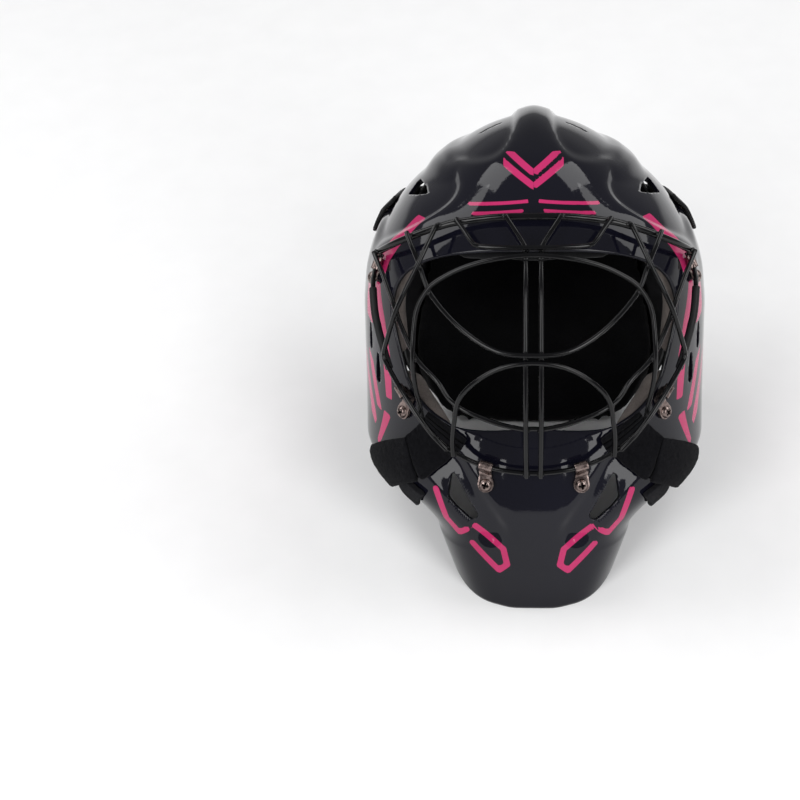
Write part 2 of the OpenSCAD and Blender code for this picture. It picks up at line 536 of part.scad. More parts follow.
module back_strap(s, route, site) {
  placed() color(strap_color) sides(s) difference() {
    strap(strap_rows(route), elastic_t);
    stand_on(skin(unit(site)) - 2 * skin_normal(unit(site)), skin_normal(unit(site)), [0, 0, 1])
      cylinder(h = 8, d = rivet_d + 0.4, $fn = 24);
  }
}
module back_strap_upper_left() { back_strap(1, upper_strap_route, rivet_sites[0]); }
module back_strap_upper_right() { back_strap(-1, upper_strap_route, rivet_sites[0]); }
module back_strap_lower_left() { back_strap(1, lower_strap_route, rivet_sites[1]); }
module back_strap_lower_right() { back_strap(-1, lower_strap_route, rivet_sites[1]); }
module strap_rivets() {
  placed() color("#2a2a2c") for (s = [-1, 1], r = rivet_sites) sides(s)
    stand_on(skin(unit(r)), skin_normal(unit(r)), [0, 0, 1]) {
      translate([0, 0, -shell_t - 1.8]) cylinder(h = 1, d = rivet_head_d, $fn = 32);
      translate([0, 0, -shell_t - 1.6]) cylinder(h = shell_t + 3.6 + elastic_t, d = rivet_d, $fn = 24);
      translate([0, 0, elastic_t + 1.8]) cylinder(h = 1, d1 = rivet_head_d, d2 = rivet_head_d - 3, $fn = 32);
    }
}
slider_site = side_point(54, -56.4);
module strap_slider(s) {
  d = unit(slider_site);
  inner_w = elastic_w + 1.2;
  placed() color(plastic_color) sides(s) stand_on(skin(d), skin_normal(d), [0, 0, 1])
    translate([0, 0, seat_gap + elastic_t + 1.6]) linear_extrude(2.4) difference() {
      square([inner_w + 7, 20], center = true);
      for (y = [-5, 5]) translate([0, y]) square([inner_w, 5], center = true);
    }
}
module strap_slider_left() { strap_slider(1); }
module strap_slider_right() { strap_slider(-1); }

// Jaw straps: out over the edge of the opening, back along the jaw, with a free end over a fold
fold_t = 4;
jaw_route = [[56, -112, -58, 0.4, jaw_strap_w], [61, -111, -66, 0.6, jaw_strap_w],
  [68, -107, -75, 2.4, jaw_strap_w], [75, -103, -82.4, fold_t + 1.7, jaw_strap_w],
  [84, -94, -85.5, fold_t + 1.7, jaw_strap_w], [93, -80, -87.5, 4.6, jaw_strap_w - 1], [101, -65, -89, 2, jaw_strap_w - 2]];
jaw_crease = 3 * strap_steps;
jaw_fold_route = [[77, -100, -97, 0.4, 24], [79, -95, -105, 0.4, 20], [79, -89, -115, 0.4, 13]];
module jaw_strap(s) {
  rows = strap_rows(jaw_route);
  placed() color(strap_color) sides(s) strap([for (i = [0 : jaw_crease]) rows[i]], jaw_strap_t);
}
module jaw_strap_left() { jaw_strap(1); }
module jaw_strap_right() { jaw_strap(-1); }
module jaw_strap_tab(s) {
  rows = strap_rows(jaw_route);
  first = [for (g = rows[jaw_crease]) [g[0] + g[3] * (seat_gap + 0.2), g[1], g[2], g[3]]];
  placed() color(strap_color) sides(s)
    strap(concat([first], [for (i = [jaw_crease + 1 : len(rows) - 1]) rows[i]]), jaw_strap_t);
}
module jaw_strap_tab_left() { jaw_strap_tab(1); }
module jaw_strap_tab_right() { jaw_strap_tab(-1); }
module jaw_strap_fold(s) { placed() color(strap_color) sides(s) strap(strap_rows(jaw_fold_route), fold_t); }
module jaw_strap_fold_left() { jaw_strap_fold(1); }
module jaw_strap_fold_right() { jaw_strap_fold(-1); }

// Chin cup: a shallow bowl under the wearer's chin, on two elastic straps
cup_at = [0, -72, -112];
cup_size = [36, 30, 22];
module bowl(size, t, low, cols = 20, rows = 6) {
  // the wall of half an ellipsoid, open upward
  grid = [for (j = [0 : rows]) let (a = mix(-88, low, j / rows)) [for (i = [0 : cols - 1]) let (w = 360 * i / cols)
    [cos(a) * cos(w), cos(a) * sin(w), sin(a)]]];
  n = cols * (rows + 1);
  function at(g, e) = [g.x * (size.x + e), g.y * (size.y + e), g.z * (size.z + e)];
  function id(j, i) = j * cols + i % cols;
  solid(concat([for (row = grid) each [for (g = row) at(g, 0)]], [for (row = grid) each [for (g = row) at(g, -t)]]), concat(
    [for (j = [0 : rows - 1], i = [0 : cols - 1])
      each [[id(j, i), id(j + 1, i + 1), id(j, i + 1)], [id(j, i), id(j + 1, i), id(j + 1, i + 1)]]],
    [for (j = [0 : rows - 1], i = [0 : cols - 1])
      each [[n + id(j, i), n + id(j, i + 1), n + id(j + 1, i + 1)], [n + id(j, i), n + id(j + 1, i + 1), n + id(j + 1, i)]]],
    [for (i = [0 : cols - 1])
      each [[id(rows, i), n + id(rows, i + 1), id(rows, i + 1)], [id(rows, i), n + id(rows, i), n + id(rows, i + 1)]]],
    fan([for (i = [0 : cols - 1]) i]), fan([for (i = [cols - 1 : -1 : 0]) n + i])));
}
module in_cup() { placed() translate([cup_at.x, cup_at.y, lay_z(cup_at.z)]) rotate([-20, 0, 0]) children(); }
module chin_cup() { color(plastic_color) in_cup() bowl(cup_size, 2.4, 4); }
module chin_cup_liner() { color(foam_color) in_cup() bowl(cup_size - [2.7, 2.7, 2.7], 5, 0); }
chin_strap_w = 18;
module chin_strap(s) {
  // from the cup's side up to the inside of the shell at the opening's lower corner
  rim = unit(face_point(49, -64));
  from = [cup_size.x + elastic_t / 2 + 0.3, cup_at.y - 2, lay_z(cup_at.z) + 1];
  to = skin(rim) - skin_normal(rim) * (shell_t + elastic_t / 2 + 1.2);
  along_rim = unit(face_point(56, -60) - face_point(42, -66.5));
  path = [for (i = [0 : 4]) mix(from, to, i / 4)];
  over = [for (i = [0 : 4]) unit(mix([0, -0.94, -0.34], along_rim, i / 4))];
  out = [for (i = [0 : 4]) unit(cross(to - from, over[i]))];
  placed() color(strap_color) sides(s)
    slab([for (i = [0 : 4]) [for (j = [-0.5, 0.5]) path[i] + over[i] * chin_strap_w * j + out[i] * elastic_t / 2]],
      [for (i = [0 : 4]) [for (j = [-0.5, 0.5]) path[i] + over[i] * chin_strap_w * j - out[i] * elastic_t / 2]]);
}
module chin_strap_left() { chin_strap(1); }
module chin_strap_right() { chin_strap(-1); }

front_shell();
brow_pad();
crown_pad();
temple_pad_left();
temple_pad_right();
cheek_pad_left();
cheek_pad_right();
cage_top_bar();
cage_rim_left();
cage_rim_right();
cage_rim_bottom();
cage_side_wire_left();
cage_side_wire_right();
cage_upper_loop();
cage_lower_loop();
cage_face_arch();
cage_mouth_arch();
cage_upright_bars();
cage_brow_wire();
rim_sleeve_left();
rim_sleeve_right();
clip_temple_left();
clip_temple_right();
clip_jaw_left();
clip_jaw_right();
clip_chin_left();
clip_chin_right();
clip_screws();
clip_nuts();
back_plate();
back_plate_pad();
back_strap_upper_left();
back_strap_upper_right();
back_strap_lower_left();
back_strap_lower_right();
strap_slider_left();
strap_slider_right();
strap_rivets();
jaw_strap_left();
jaw_strap_right();
jaw_strap_tab_left();
jaw_strap_tab_right();
jaw_strap_fold_left();
jaw_strap_fold_right();
chin_cup();
chin_cup_liner();
chin_strap_left();
chin_strap_right();
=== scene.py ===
import math
import bmesh
import bpy
import numpy as np
from mathutils import Matrix


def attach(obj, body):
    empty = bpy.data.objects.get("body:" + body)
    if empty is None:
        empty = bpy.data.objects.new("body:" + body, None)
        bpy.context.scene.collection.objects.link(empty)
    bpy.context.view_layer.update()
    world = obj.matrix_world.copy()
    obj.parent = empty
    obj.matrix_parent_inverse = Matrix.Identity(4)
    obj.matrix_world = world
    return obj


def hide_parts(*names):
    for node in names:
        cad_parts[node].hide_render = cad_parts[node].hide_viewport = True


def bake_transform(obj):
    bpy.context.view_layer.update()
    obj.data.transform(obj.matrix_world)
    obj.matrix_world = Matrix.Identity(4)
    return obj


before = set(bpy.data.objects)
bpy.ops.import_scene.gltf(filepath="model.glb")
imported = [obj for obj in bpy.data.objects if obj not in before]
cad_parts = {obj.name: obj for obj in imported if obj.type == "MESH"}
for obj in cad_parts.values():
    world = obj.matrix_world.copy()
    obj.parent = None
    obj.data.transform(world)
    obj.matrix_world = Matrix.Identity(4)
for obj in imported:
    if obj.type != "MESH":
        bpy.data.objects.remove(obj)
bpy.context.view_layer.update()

# FRONT SHELL
# One deep shell moulded from ABS, 3.2 mm thick, sprayed gloss black with printed magenta bands.
# It covers the crown, temples, cheeks and chin, stands on its lower rim and carries all the rest.
SHELL_T = 3.2
LEAN = 25.0
LEAN_C, LEAN_S = math.cos(math.radians(LEAN)), math.sin(math.radians(LEAN))
# how far the middle of the head moves back and up when the mask is stood on its rim, in mm
STAND_Y, STAND_Z = 28.03, 122.09
# the plain form in mm: half width at the cheeks, height of the crown, depths to front and back
HALF_W, CROWN_Z, FRONT_D, REAR_D = 118, 126, 121, 118


def place(p):
    """Head frame in mm (x sideways, -y the way the face looks, z up) to the standing mask in metres:
    turned back about x by the lean, then lifted on to its rim."""
    p = np.asarray(p, float)
    return np.stack([p[..., 0], p[..., 1] * LEAN_C + p[..., 2] * LEAN_S + STAND_Y,
                     p[..., 2] * LEAN_C - p[..., 1] * LEAN_S + STAND_Z], -1) / 1000


def ease(t):
    """0 below 0, 1 above 1, and a smooth S between."""
    c = np.clip(t, 0, 1)
    return c * c * (3 - 2 * c)


def bell(t):
    """A smooth bump: 1 at 0, falling as exp(-t squared) to both sides."""
    return np.exp(-t * t)


def unit(v):
    """Vectors scaled to length 1."""
    return v / np.maximum(np.linalg.norm(v, axis=-1, keepdims=True), 1e-12)


def dome(z, size, power):
    """Half size at height z of a superellipse: size at z 0, almost nothing at the crown."""
    return size * (1 - np.clip(z / CROWN_Z, 0, 0.9999) ** power) ** (1 / power)


def half_width(z):
    """Half width of the level section at height z: a superellipse dome above, a narrowing jaw below."""
    jaw = 68 + 50 * ease((z + 145) / 59) + 0.35 * np.minimum(0, z + 145)
    return np.where(z > 0, dome(z, HALF_W, 1.8), jaw)


def front_depth(z):
    """Depth to the face: a dome above, and a chin that swells round z -105 and then falls back."""
    chin = FRONT_D + 4 * bell((z + 105) / 32) - 9 * (np.maximum(0, -z - 110) / 76) ** 2
    return np.where(z > 0, dome(z, FRONT_D, 2.2), chin)


def rear_depth(z):
    """Depth to the back: a dome above, drawn in by 44 mm down to the nape."""
    return np.where(z > 0, dome(z, REAR_D, 2.2), REAR_D - 44 * ease(-z / 95))


def squareness(z):
    """Power of the level section's superellipse: 2.3, rising to 3.6 below the jaw."""
    return 2.3 + 1.3 * ease((-z - 60) / 100)


def form(p):
    """Plain form: each level section is a superellipse; negative inside."""
    x, y, z = p[..., 0], p[..., 1], p[..., 2]
    n = squareness(z)
    depth = np.where(y < 0, front_depth(z), rear_depth(z))
    return (np.abs(x) / half_width(z)) ** n + (np.abs(y) / depth) ** n - 1


def sculpt(p):
    """Height of the moulded relief over the plain form: the raised brow plateau with its scoops,
    the crown ridge, the shoulder flutes, the chin edge's lip, the slot dishes and the chin's flat."""
    x, y, z = np.abs(p[..., 0]), p[..., 1], p[..., 2]
    rear = ease((y + 40) / 40)
    # the plateau is 3 mm high, up to a curved line in front and a slanting one at the sides
    front_scoop = ease((z - 103 - 15.5 * np.exp((13 - np.maximum(x, 2)) / 8)) / 7)
    side_line = 48 + 60 * ease((95 - z) / 60) + np.maximum(0, z - 95) * 0.5 + 10 * rear
    side_scoop = ease(np.minimum(x - side_line + 2, 103 - 0.3 * (x - 52) - z) / 7)
    raised = 3 * ease(z / 50) * (1 - front_scoop) * (1 - side_scoop)
    # the crown's ridge and the flutes beside it are bells across x
    ridge = 2.8 * bell(x / 10) * ease((y + 60) / 45) * ease((z - 60) / 30)
    flute = -4 * bell((x - 62) / 28) * ease((z - 70) / 25) * (1 - 0.5 * rear)
    # under the opening the skin falls back, 1.1 mm for each mm above a shallow arc
    lip_line = 0.005 * x * x - 71
    lip = -1.1 * np.minimum(10, np.maximum(0, z - lip_line)) * ease((-z - 40) / 12) * ease((-y - 60) / 30)
    # a dish 4 mm deep goes round the line from (56, -86) to (29, -128), where the chin slots are
    t = np.clip(((x - 56) * -27 + (z + 86) * -42) / (27 * 27 + 42 * 42), 0, 1)
    dish_at = np.hypot(x - 56 + 27 * t, z + 86 + 42 * t)
    dish = -4 * (1 - ease((dish_at - 4) / 11)) * ease((-y - 60) / 30)
    # the chin's flat stands 2 mm proud down the middle
    stripe = 2 * (1 - ease((x - 12) / 14)) * ease((-z - 70) / 10)
    return raised + ridge + flute + lip + dish + stripe


def skin(d):
    """Outer surface along the directions d from the middle of the head: the radius where the form
    is 0, found by halving between 20 and 260 mm, plus the relief there."""
    d = unit(np.asarray(d, float))
    low = np.full(d.shape[:-1], 20.0)
    rise = d[..., 2]
    high = np.minimum(260, np.where(rise > 0.01, (CROWN_Z - 0.01) / np.maximum(rise, 0.01), 260))
    for _ in range(34):
        mid = (low + high) / 2
        inside = form(d * mid[..., None]) < 0
        low, high = np.where(inside, mid, low), np.where(inside, high, mid)
    p = d * low[..., None]
    return p + d * sculpt(p)[..., None]


def skin_normal(d, step=0.006):
    """Outward normal of the skin from two neighbouring points on it."""
    d = unit(np.asarray(d, float))
    a = unit(np.cross(d, np.where(np.abs(d[..., :1]) < 0.7, [1.0, 0, 0], [0, 1.0, 0])))
    b = np.cross(d, a)
    n = unit(np.cross(skin(d + step * a) - skin(d - step * a), skin(d + step * b) - skin(d - step * b)))
    return np.where((n * d).sum(-1, keepdims=True) < 0, -n, n)


def facing(rho, u):
    """Direction at the angle rho from straight ahead, u round the face from the wearer's left."""
    rho, u = np.radians(rho), np.radians(u)
    return np.stack([np.sin(rho) * np.cos(u), -np.cos(rho), np.sin(rho) * np.sin(u)], -1)


def face_y(x, z):
    """y of the plain form on the face's side, at x and z."""
    n = squareness(z)
    return -front_depth(z) * np.maximum(0, 1 - (np.abs(x) / half_width(z)) ** n) ** (1 / n)


def face_point(x, z):
    """The plain form's point at x and z on the face's side."""
    return np.array([x, float(face_y(x, z)), z], float)


def opening_rho(u):
    """The face opening's edge as an angle from straight ahead: a superellipse 94 mm half wide (88 mm
    below), 58 mm up and 63 mm down."""
    c, s = np.cos(np.radians(u)), np.sin(np.radians(u))
    a = 94 - 6 * ease(0.4 - np.degrees(np.arcsin(s)) / 25)
    b = np.where(s > 0, 58, 63)
    r = ((np.abs(c) / a) ** 2.8 + (np.abs(s) / b) ** 2.8) ** (-1 / 2.8)
    return np.degrees(np.arctan2(r, -face_y(r * c, r * s)))


# the outer edge lies behind BACK_Y, JAW_IN further forward at the jaw, and under the rim's plane,
# which goes through RIM_Y and RIM_Z and leans with the mask; CORNER rounds where the two meet
BACK_Y, JAW_IN, RIM_Y, RIM_Z, CORNER = 62, 14.08, -110, -186, 34


def past_edge(p):
    """How far a point is past the shell's outer edge, negative on the shell: the greater of the ways
    behind the back edge and under the rim's plane, with a soft corner."""
    behind = p[..., 1] - BACK_Y + JAW_IN * ease(-p[..., 2] / 55)
    under = -((p[..., 1] - RIM_Y) * -LEAN_S + (p[..., 2] - RIM_Z) * LEAN_C)
    h = np.maximum(CORNER - np.abs(behind - under), 0) / CORNER
    return np.maximum(behind, under) + h * h * CORNER / 4


def edge_rho(u, low):
    """Angle from straight ahead where the skin passes its outer edge, halved between low and 150."""
    high = np.full_like(low, 150.0)
    for _ in range(26):
        mid = (low + high) / 2
        inside = past_edge(skin(facing(mid, u))) < 0
        low, high = np.where(inside, mid, low), np.where(inside, high, mid)
    return low


def edge_out(p):
    """Way that the outer edge faces, from the slope of past_edge."""
    h = 0.05
    dy = past_edge(p + [0, h, 0]) - past_edge(p - [0, h, 0])
    dz = past_edge(p + [0, 0, h]) - past_edge(p - [0, 0, h])
    return unit(np.stack([np.zeros_like(dy), dy, dz], -1))


def mesh_object(name, points, faces, smooth=True):
    """A new mesh object from head-frame points and a face list or array."""
    mesh = bpy.data.meshes.new(name)
    mesh.from_pydata(place(points).tolist(), [], [list(map(int, f)) for f in faces])
    mesh.update()
    if smooth:
        mesh.shade_smooth()
    else:
        mesh.shade_flat()
    obj = bpy.data.objects.new(name, mesh)
    bpy.context.scene.collection.objects.link(obj)
    return obj


def grid_faces(rows, cols, closed, start=0, flip=False):
    """Quads of a rows x cols grid whose point (j, i) is number start + j * cols + i."""
    j, i = np.meshgrid(np.arange(rows - 1), np.arange(cols if closed else cols - 1), indexing="ij")
    k = (i + 1) % cols
    f = np.stack([j * cols + i, j * cols + k, (j + 1) * cols + k, (j + 1) * cols + i], -1)
    f = f.reshape(-1, 4) + start
    return f[:, ::-1] if flip else f


def capped_faces(rows, cols):
    """Faces of a tube of closed rings, with a flat one over each end."""
    last = (rows - 1) * cols
    tube = [list(f) for f in grid_faces(rows, cols, True)]
    return tube + [list(range(cols))[::-1], list(range(last, last + cols))]


def turned_out(obj):
    """Merges doubles and turns the faces of a closed mesh outward."""
    bm = bmesh.new()
    bm.from_mesh(obj.data)
    bmesh.ops.remove_doubles(bm, verts=bm.verts, dist=1e-6)
    bmesh.ops.recalc_face_normals(bm, faces=bm.faces)
    if bm.calc_volume(signed=True) < 0:
        bmesh.ops.reverse_faces(bm, faces=bm.faces)
    bm.to_mesh(obj.data)
    bm.free()
    return obj


def applied(obj):
    """Bakes the object's modifiers into its mesh."""
    made = bpy.data.meshes.new_from_object(obj.evaluated_get(bpy.context.evaluated_depsgraph_get()))
    obj.modifiers.clear()
    obj.data = made
    return obj


def modify(obj, kind, **settings):
    """Adds one modifier with its settings."""
    m = obj.modifiers.new(kind.lower(), kind)
    for key, value in settings.items():
        setattr(m, key, value)
    return m


def rounded_rim(a, b, out):
    """Five points on a flattened half round from a to b that bulges along out, for a moulded edge."""
    t = np.linspace(0, np.pi, 7)[1:-1][:, None, None]
    mid, half = (a + b) / 2, (a - b) / 2
    bulge = np.linalg.norm(half, axis=-1, keepdims=True)
    return mid + half * np.cos(t) + out * bulge * np.sin(t) * 0.8


# points round the shell and from the opening to the outer edge, and how far the edge is rounded, in mm
SHELL_COLS, SHELL_ROWS, EDGE_ROUND = 380, 112, 1.2
turn = np.linspace(0, 360, SHELL_COLS, endpoint=False)
# the columns lie closer together at the chin than at the brow
shell_u = turn - 17 * np.cos(np.radians(turn))
rho_in = opening_rho(shell_u)
rho_out = edge_rho(shell_u, rho_in)
shell_rho = rho_in + (rho_out - rho_in) * np.linspace(0, 1, SHELL_ROWS)[:, None]
shell_dirs = facing(shell_rho, np.broadcast_to(shell_u, shell_rho.shape))
outer = skin(shell_dirs)
normals = skin_normal(shell_dirs)
# at its outer edge the wall goes in along the edge's own plane, so that the mask stands flat
edge = edge_out(outer[-1])
inward = normals.copy()
inward[-1] = unit(normals[-1] - (normals[-1] * edge).sum(-1, keepdims=True) * edge)
inner = outer - SHELL_T * inward
back_to_face = unit(np.cross(normals[0], np.roll(outer[0], -1, 0) - np.roll(outer[0], 1, 0)))
away = unit(outer[0] - outer[1])
back_to_face = np.where((back_to_face * away).sum(-1, keepdims=True) < 0, -back_to_face, back_to_face)
# the opening's edge keeps its place, so the wall stops short of it by what the rounding adds
outer[0] -= back_to_face * EDGE_ROUND
inner[0] -= back_to_face * EDGE_ROUND
stack = np.concatenate([rounded_rim(inner[0], outer[0], back_to_face), outer,
                        (outer[-1] * 0.82 + inner[-1] * 0.18)[None],
                        (outer[-1] * 0.18 + inner[-1] * 0.82)[None], inner[::-1]])
column = np.arange(SHELL_COLS)
after = (column + 1) % SHELL_COLS
last = (len(stack) - 1) * SHELL_COLS
wrap = np.stack([last + column, last + after, after, column], -1)
shell_faces = np.concatenate([grid_faces(len(stack), SHELL_COLS, True), wrap])
shell = turned_out(mesh_object("shell", stack.reshape(-1, 3), shell_faces))


def frame_at(out, hint):
    """Side and up axes square to out, with side turned toward hint."""
    side = unit(hint - out * (hint * out).sum(-1, keepdims=True))
    return side, np.cross(out, side)


def slot_cutter(name, spots, sides=40):
    """A tapering slot through the wall round two or three spots [x, y, z, radius]: the outline is the
    hull of their circles, carried from 9 mm inside to 9 mm outside, with a flare at the skin that
    rounds the cut edge."""
    spots = np.asarray(spots, float)
    ends = skin(spots[:, :3])
    out = skin_normal(unit((ends[0] + ends[1]) / 2))
    side, up = frame_at(out, ends[1] - ends[0])
    w = np.linspace(0, 2 * np.pi, sides, endpoint=False)
    ring = np.stack([np.cos(w), np.sin(w)], -1)
    flat = np.stack([(ends - ends[0]) @ side, (ends - ends[0]) @ up], -1)
    cloud = (flat[:, None] + ring[None] * spots[:, 3][:, None, None]).reshape(-1, 2)
    support = (cloud @ ring.T).max(0)
    # a corner of the outline is where two neighbouring support lines cross
    turned = np.roll(ring, -1, 0)
    following = np.roll(support, -1)
    det = ring[:, 0] * turned[:, 1] - ring[:, 1] * turned[:, 0]
    outline = np.stack([(support * turned[:, 1] - following * ring[:, 1]) / det,
                        (following * ring[:, 0] - support * turned[:, 0]) / det], -1)
    tilt = ((ends - ends[0]) @ out).mean()
    rows = []
    # height over the skin and how much the outline has grown there, in mm
    for height, grow in ((-9, 0), (-0.8, 0), (-0.25, 0.132), (0.25, 0.484), (9, 3.52)):
        flat_row = outline + unit(outline - outline.mean(0)) * grow
        rows.append(ends[0] + flat_row[:, :1] * side + flat_row[:, 1:] * up + out * (height + tilt))
    points = np.concatenate(rows)
    return turned_out(mesh_object(name, points, capped_faces(len(rows), sides), smooth=False))


def hole_cutter(name, foot, out, radius, sides=24):
    """A cylinder from 12 mm under the skin to 12 mm over it."""
    side, up = frame_at(out, np.array([0.0, 0, 1]))
    w = np.linspace(0, 2 * np.pi, sides, endpoint=False)[:, None]
    ring = (np.cos(w) * side + np.sin(w) * up) * radius
    points = np.concatenate([foot + ring + out * h for h in (-12, 12)])
    return turned_out(mesh_object(name, points, capped_faces(2, sides), smooth=False))


def mirrored(p, s):
    """Points, with any further columns, on the side s: 1 is the wearer's left and -1 the right."""
    return np.asarray(p, float) * np.array([s, 1, 1] + [1] * (np.asarray(p).shape[-1] - 3))


# each slot's spots [x, y, z, radius]: at the crown, the temple, two at the cheek, and the chin
SLOTS = [[[24, -2, 125, 1.8], [35, -6, 118, 1.8]], [[73, -48, 86, 1], [83, -26, 81, 2.5], [79, -15, 87, 1.5]],
         [[110, -52, -6, 2], [110, -52, -19, 3]], [[105, -65, -24, 2], [105, -65, -39, 3.5]],
         [[54, -118, -94, 1.5], [53, -118, -106, 3.5], [41, -120, -120, 3.5]]]
# the clips' screws in front view: x and z at the temple, the jaw and the chin
CLIP_FEET = [[103.5, 28.5], [85, -54], [31, -94]]
HOLE_R = 2.2


def side_point(y, z):
    """The plain form's point at y and z on the wearer's left side."""
    n = squareness(z)
    b = front_depth(z) if y < 0 else rear_depth(z)
    return np.array([half_width(z) * (1 - (abs(y) / b) ** n) ** (1 / n), y, z], float)


RIVETS = [side_point(34, 52.5), side_point(35, -56.6)]
screw_feet = [skin(face_point(x, z)) for x, z in CLIP_FEET]
screw_outs = [skin_normal(f) for f in screw_feet]
holes = list(zip(screw_feet, screw_outs)) + [(skin(r), skin_normal(r)) for r in RIVETS]
cutters = [slot_cutter("cut", mirrored(c, s)) for s in (-1, 1) for c in SLOTS]
cutters += [hole_cutter("cut", mirrored(f, s), mirrored(n, s), HOLE_R) for s in (-1, 1) for f, n in holes]
group = bpy.data.collections.new("cutters")
for c in cutters:
    group.objects.link(c)
bpy.context.view_layer.update()
modify(shell, "BOOLEAN", operation="DIFFERENCE", operand_type="COLLECTION", collection=group, solver="EXACT")
applied(shell)
for c in cutters:
    bpy.data.objects.remove(c)
bpy.data.collections.remove(group)


def polygon_distance(q, poly):
    """Signed distance in mm from the points q to a closed polygon: the nearest edge's distance,
    negative inside by the crossing rule."""
    poly = np.asarray(poly, float)
    best = np.full(q.shape[:-1], 1e9)
    sign = np.ones(q.shape[:-1])
    for a, b in zip(poly, np.roll(poly, 1, 0)):
        e, w = b - a, q - a
        t = np.clip((w @ e) / max(float(e @ e), 1e-9), 0, 1)
        best = np.minimum(best, ((w - t[..., None] * e) ** 2).sum(-1))
        above, below = q[..., 1] >= a[1], q[..., 1] < b[1]
        beside = e[0] * w[..., 1] > e[1] * w[..., 0]
        crossed = (above & below & beside) | (~above & ~below & ~beside)
        sign = np.where(crossed, -sign, sign)
    return sign * np.sqrt(best)


def head_points(obj):
    """The object's points back in the head frame, in mm."""
    co = np.empty(len(obj.data.vertices) * 3)
    obj.data.vertices.foreach_get("co", co)
    p = co.reshape(-1, 3) * 1000 - [0, STAND_Y, STAND_Z]
    return np.stack([p[:, 0], p[:, 1] * LEAN_C - p[:, 2] * LEAN_S, p[:, 1] * LEAN_S + p[:, 2] * LEAN_C], -1)


def put_attribute(obj, name, values):
    """Gives each point of the mesh a number that a material reads."""
    a = obj.data.attributes.new(name, "FLOAT", "POINT")
    a.data.foreach_set("value", np.asarray(values, np.float32))


# The printed design, generic: polygons and lines on the brow and chin in front view (|x|, z), and
# bands on the cheeks and behind them in the angle round the head (degrees from ahead) and height.
LINE_HALF, DEGREE_MM = 2.1, 1.95
FRONT_PRINT = [
    [(0, 101), (19, 114), (12.5, 114), (0, 105.5)], [(0, 94), (19.5, 106.5), (19.5, 111), (0, 98.4)],
    [(3, 87.2), (43, 84), (41.6, 86), (3, 89.2)], [(6, 81.8), (40.4, 79), (39, 81), (6, 83.8)]]
FRONT_LINES = [[(38.5, -126), (20, -141), (17.5, -153), (23, -158), (40.5, -139)],
               [(64.5, -101), (58, -123), (49.5, -133), (44.5, -129)]]
CHEEK_PRINT = [
    [(43, 72.5), (49.6, 73), (55.5, 60), (59.6, 49.5), (61.2, 41), (61, 33), (54.6, 33), (53.5, 43),
     (50.6, 53)],
    [(57, 27), (61, 27), (57.5, 4), (54.6, -20), (53, -50), (49.5, -50), (50, -20), (52.6, 4)],
    [(67, 20), (73, 26), (69, 0), (62, -4)],
    [(63, -30), (69, -22), (60, -60), (56, -62)], [(72, -32), (79, -22), (66, -68), (61, -74), (60, -70)],
    [(50.3, -62), (54.5, -60), (58, -84), (55.5, -84)]]
REAR_PRINT = [[(84, 10), (96, 30), (88, -40), (76, -66)], [(101, 42), (111, 58), (104, -24), (92, -58)]]


def print_distance(p):
    """Signed distance in mm to the nearest edge of the printed design, negative inside it. A line is
    LINE_HALF to both sides, and a degree round the head counts as DEGREE_MM."""
    x, y, z = np.abs(p[:, 0]), p[:, 1], p[:, 2]
    front_view = np.stack([x, z], -1)
    front = np.full(len(p), 60.0)
    for poly in FRONT_PRINT:
        front = np.minimum(front, polygon_distance(front_view, poly))
    for line in FRONT_LINES:
        for a, b in zip(np.array(line[:-1], float), np.array(line[1:], float)):
            q = front_view - a
            t = np.clip(q @ (b - a) / ((b - a) @ (b - a)), 0, 1)
            front = np.minimum(front, np.linalg.norm(q - t[:, None] * (b - a), axis=-1) - LINE_HALF)
    front = np.where(y > -30, 60.0, front)
    angle = np.degrees(np.arctan2(x, -y))
    cheek = np.full(len(p), 60.0)
    for poly in CHEEK_PRINT + REAR_PRINT:
        poly = np.asarray(poly, float)
        mid = poly[:, 0].mean()
        q = np.stack([(angle - mid) * DEGREE_MM, z], -1)
        cheek = np.minimum(cheek, polygon_distance(q, (poly - [mid, 0]) * [DEGREE_MM, 1]))
    return np.clip(np.minimum(front, cheek), -30, 30)


shell_points = head_points(shell)
put_attribute(shell, "print", print_distance(shell_points))
# 1 down to 0.9 mm under the outer face and 0 from 1.4 mm
depth = np.linalg.norm(skin(shell_points), axis=-1) - np.linalg.norm(shell_points, axis=-1)
put_attribute(shell, "outside", 1 - np.clip((depth - 0.9) / 0.5, 0, 1))


def hex_colour(text):
    """An sRGB hex colour as the linear colour that a shader takes."""
    c = np.array([int(text[i:i + 2], 16) / 255 for i in (1, 3, 5)])
    return tuple(np.where(c <= 0.04045, c / 12.92, ((c + 0.055) / 1.055) ** 2.4)) + (1.0,)


def new_material(name):
    """A material with its node tree, its Principled shader and its Object coordinates."""
    m = bpy.data.materials.new(name)
    m.use_nodes = True
    tree = m.node_tree
    return m, tree, tree.nodes["Principled BSDF"], add(tree, "ShaderNodeTexCoord").outputs["Object"]


def feed(tree, node, **inputs):
    """Gives each named input of a node its value or its link: i0, i1 by number, others by name with
    _ for a space."""
    for key, value in inputs.items():
        numbered = key[0] == "i" and key[1:].isdigit()
        socket = node.inputs[int(key[1:]) if numbered else key.replace("_", " ")]
        if isinstance(value, bpy.types.NodeSocket):
            tree.links.new(value, socket)
        else:
            socket.default_value = value
    return node


def add(tree, kind, settings=(), **inputs):
    """Adds one node, with its settings, and a value or a link for each named input."""
    node = tree.nodes.new(kind)
    for key, value in dict(settings).items():
        setattr(node, key, value)
    return feed(tree, node, **inputs)


def ramp(tree, fac, stops):
    """A colour ramp through (place, colour) stops."""
    node = add(tree, "ShaderNodeValToRGB", Fac=fac)
    while len(node.color_ramp.elements) < len(stops):
        node.color_ramp.elements.new(0.5)
    for element, (at, colour) in zip(node.color_ramp.elements, stops):
        element.position = at
        element.color = colour
    return node.outputs["Color"]


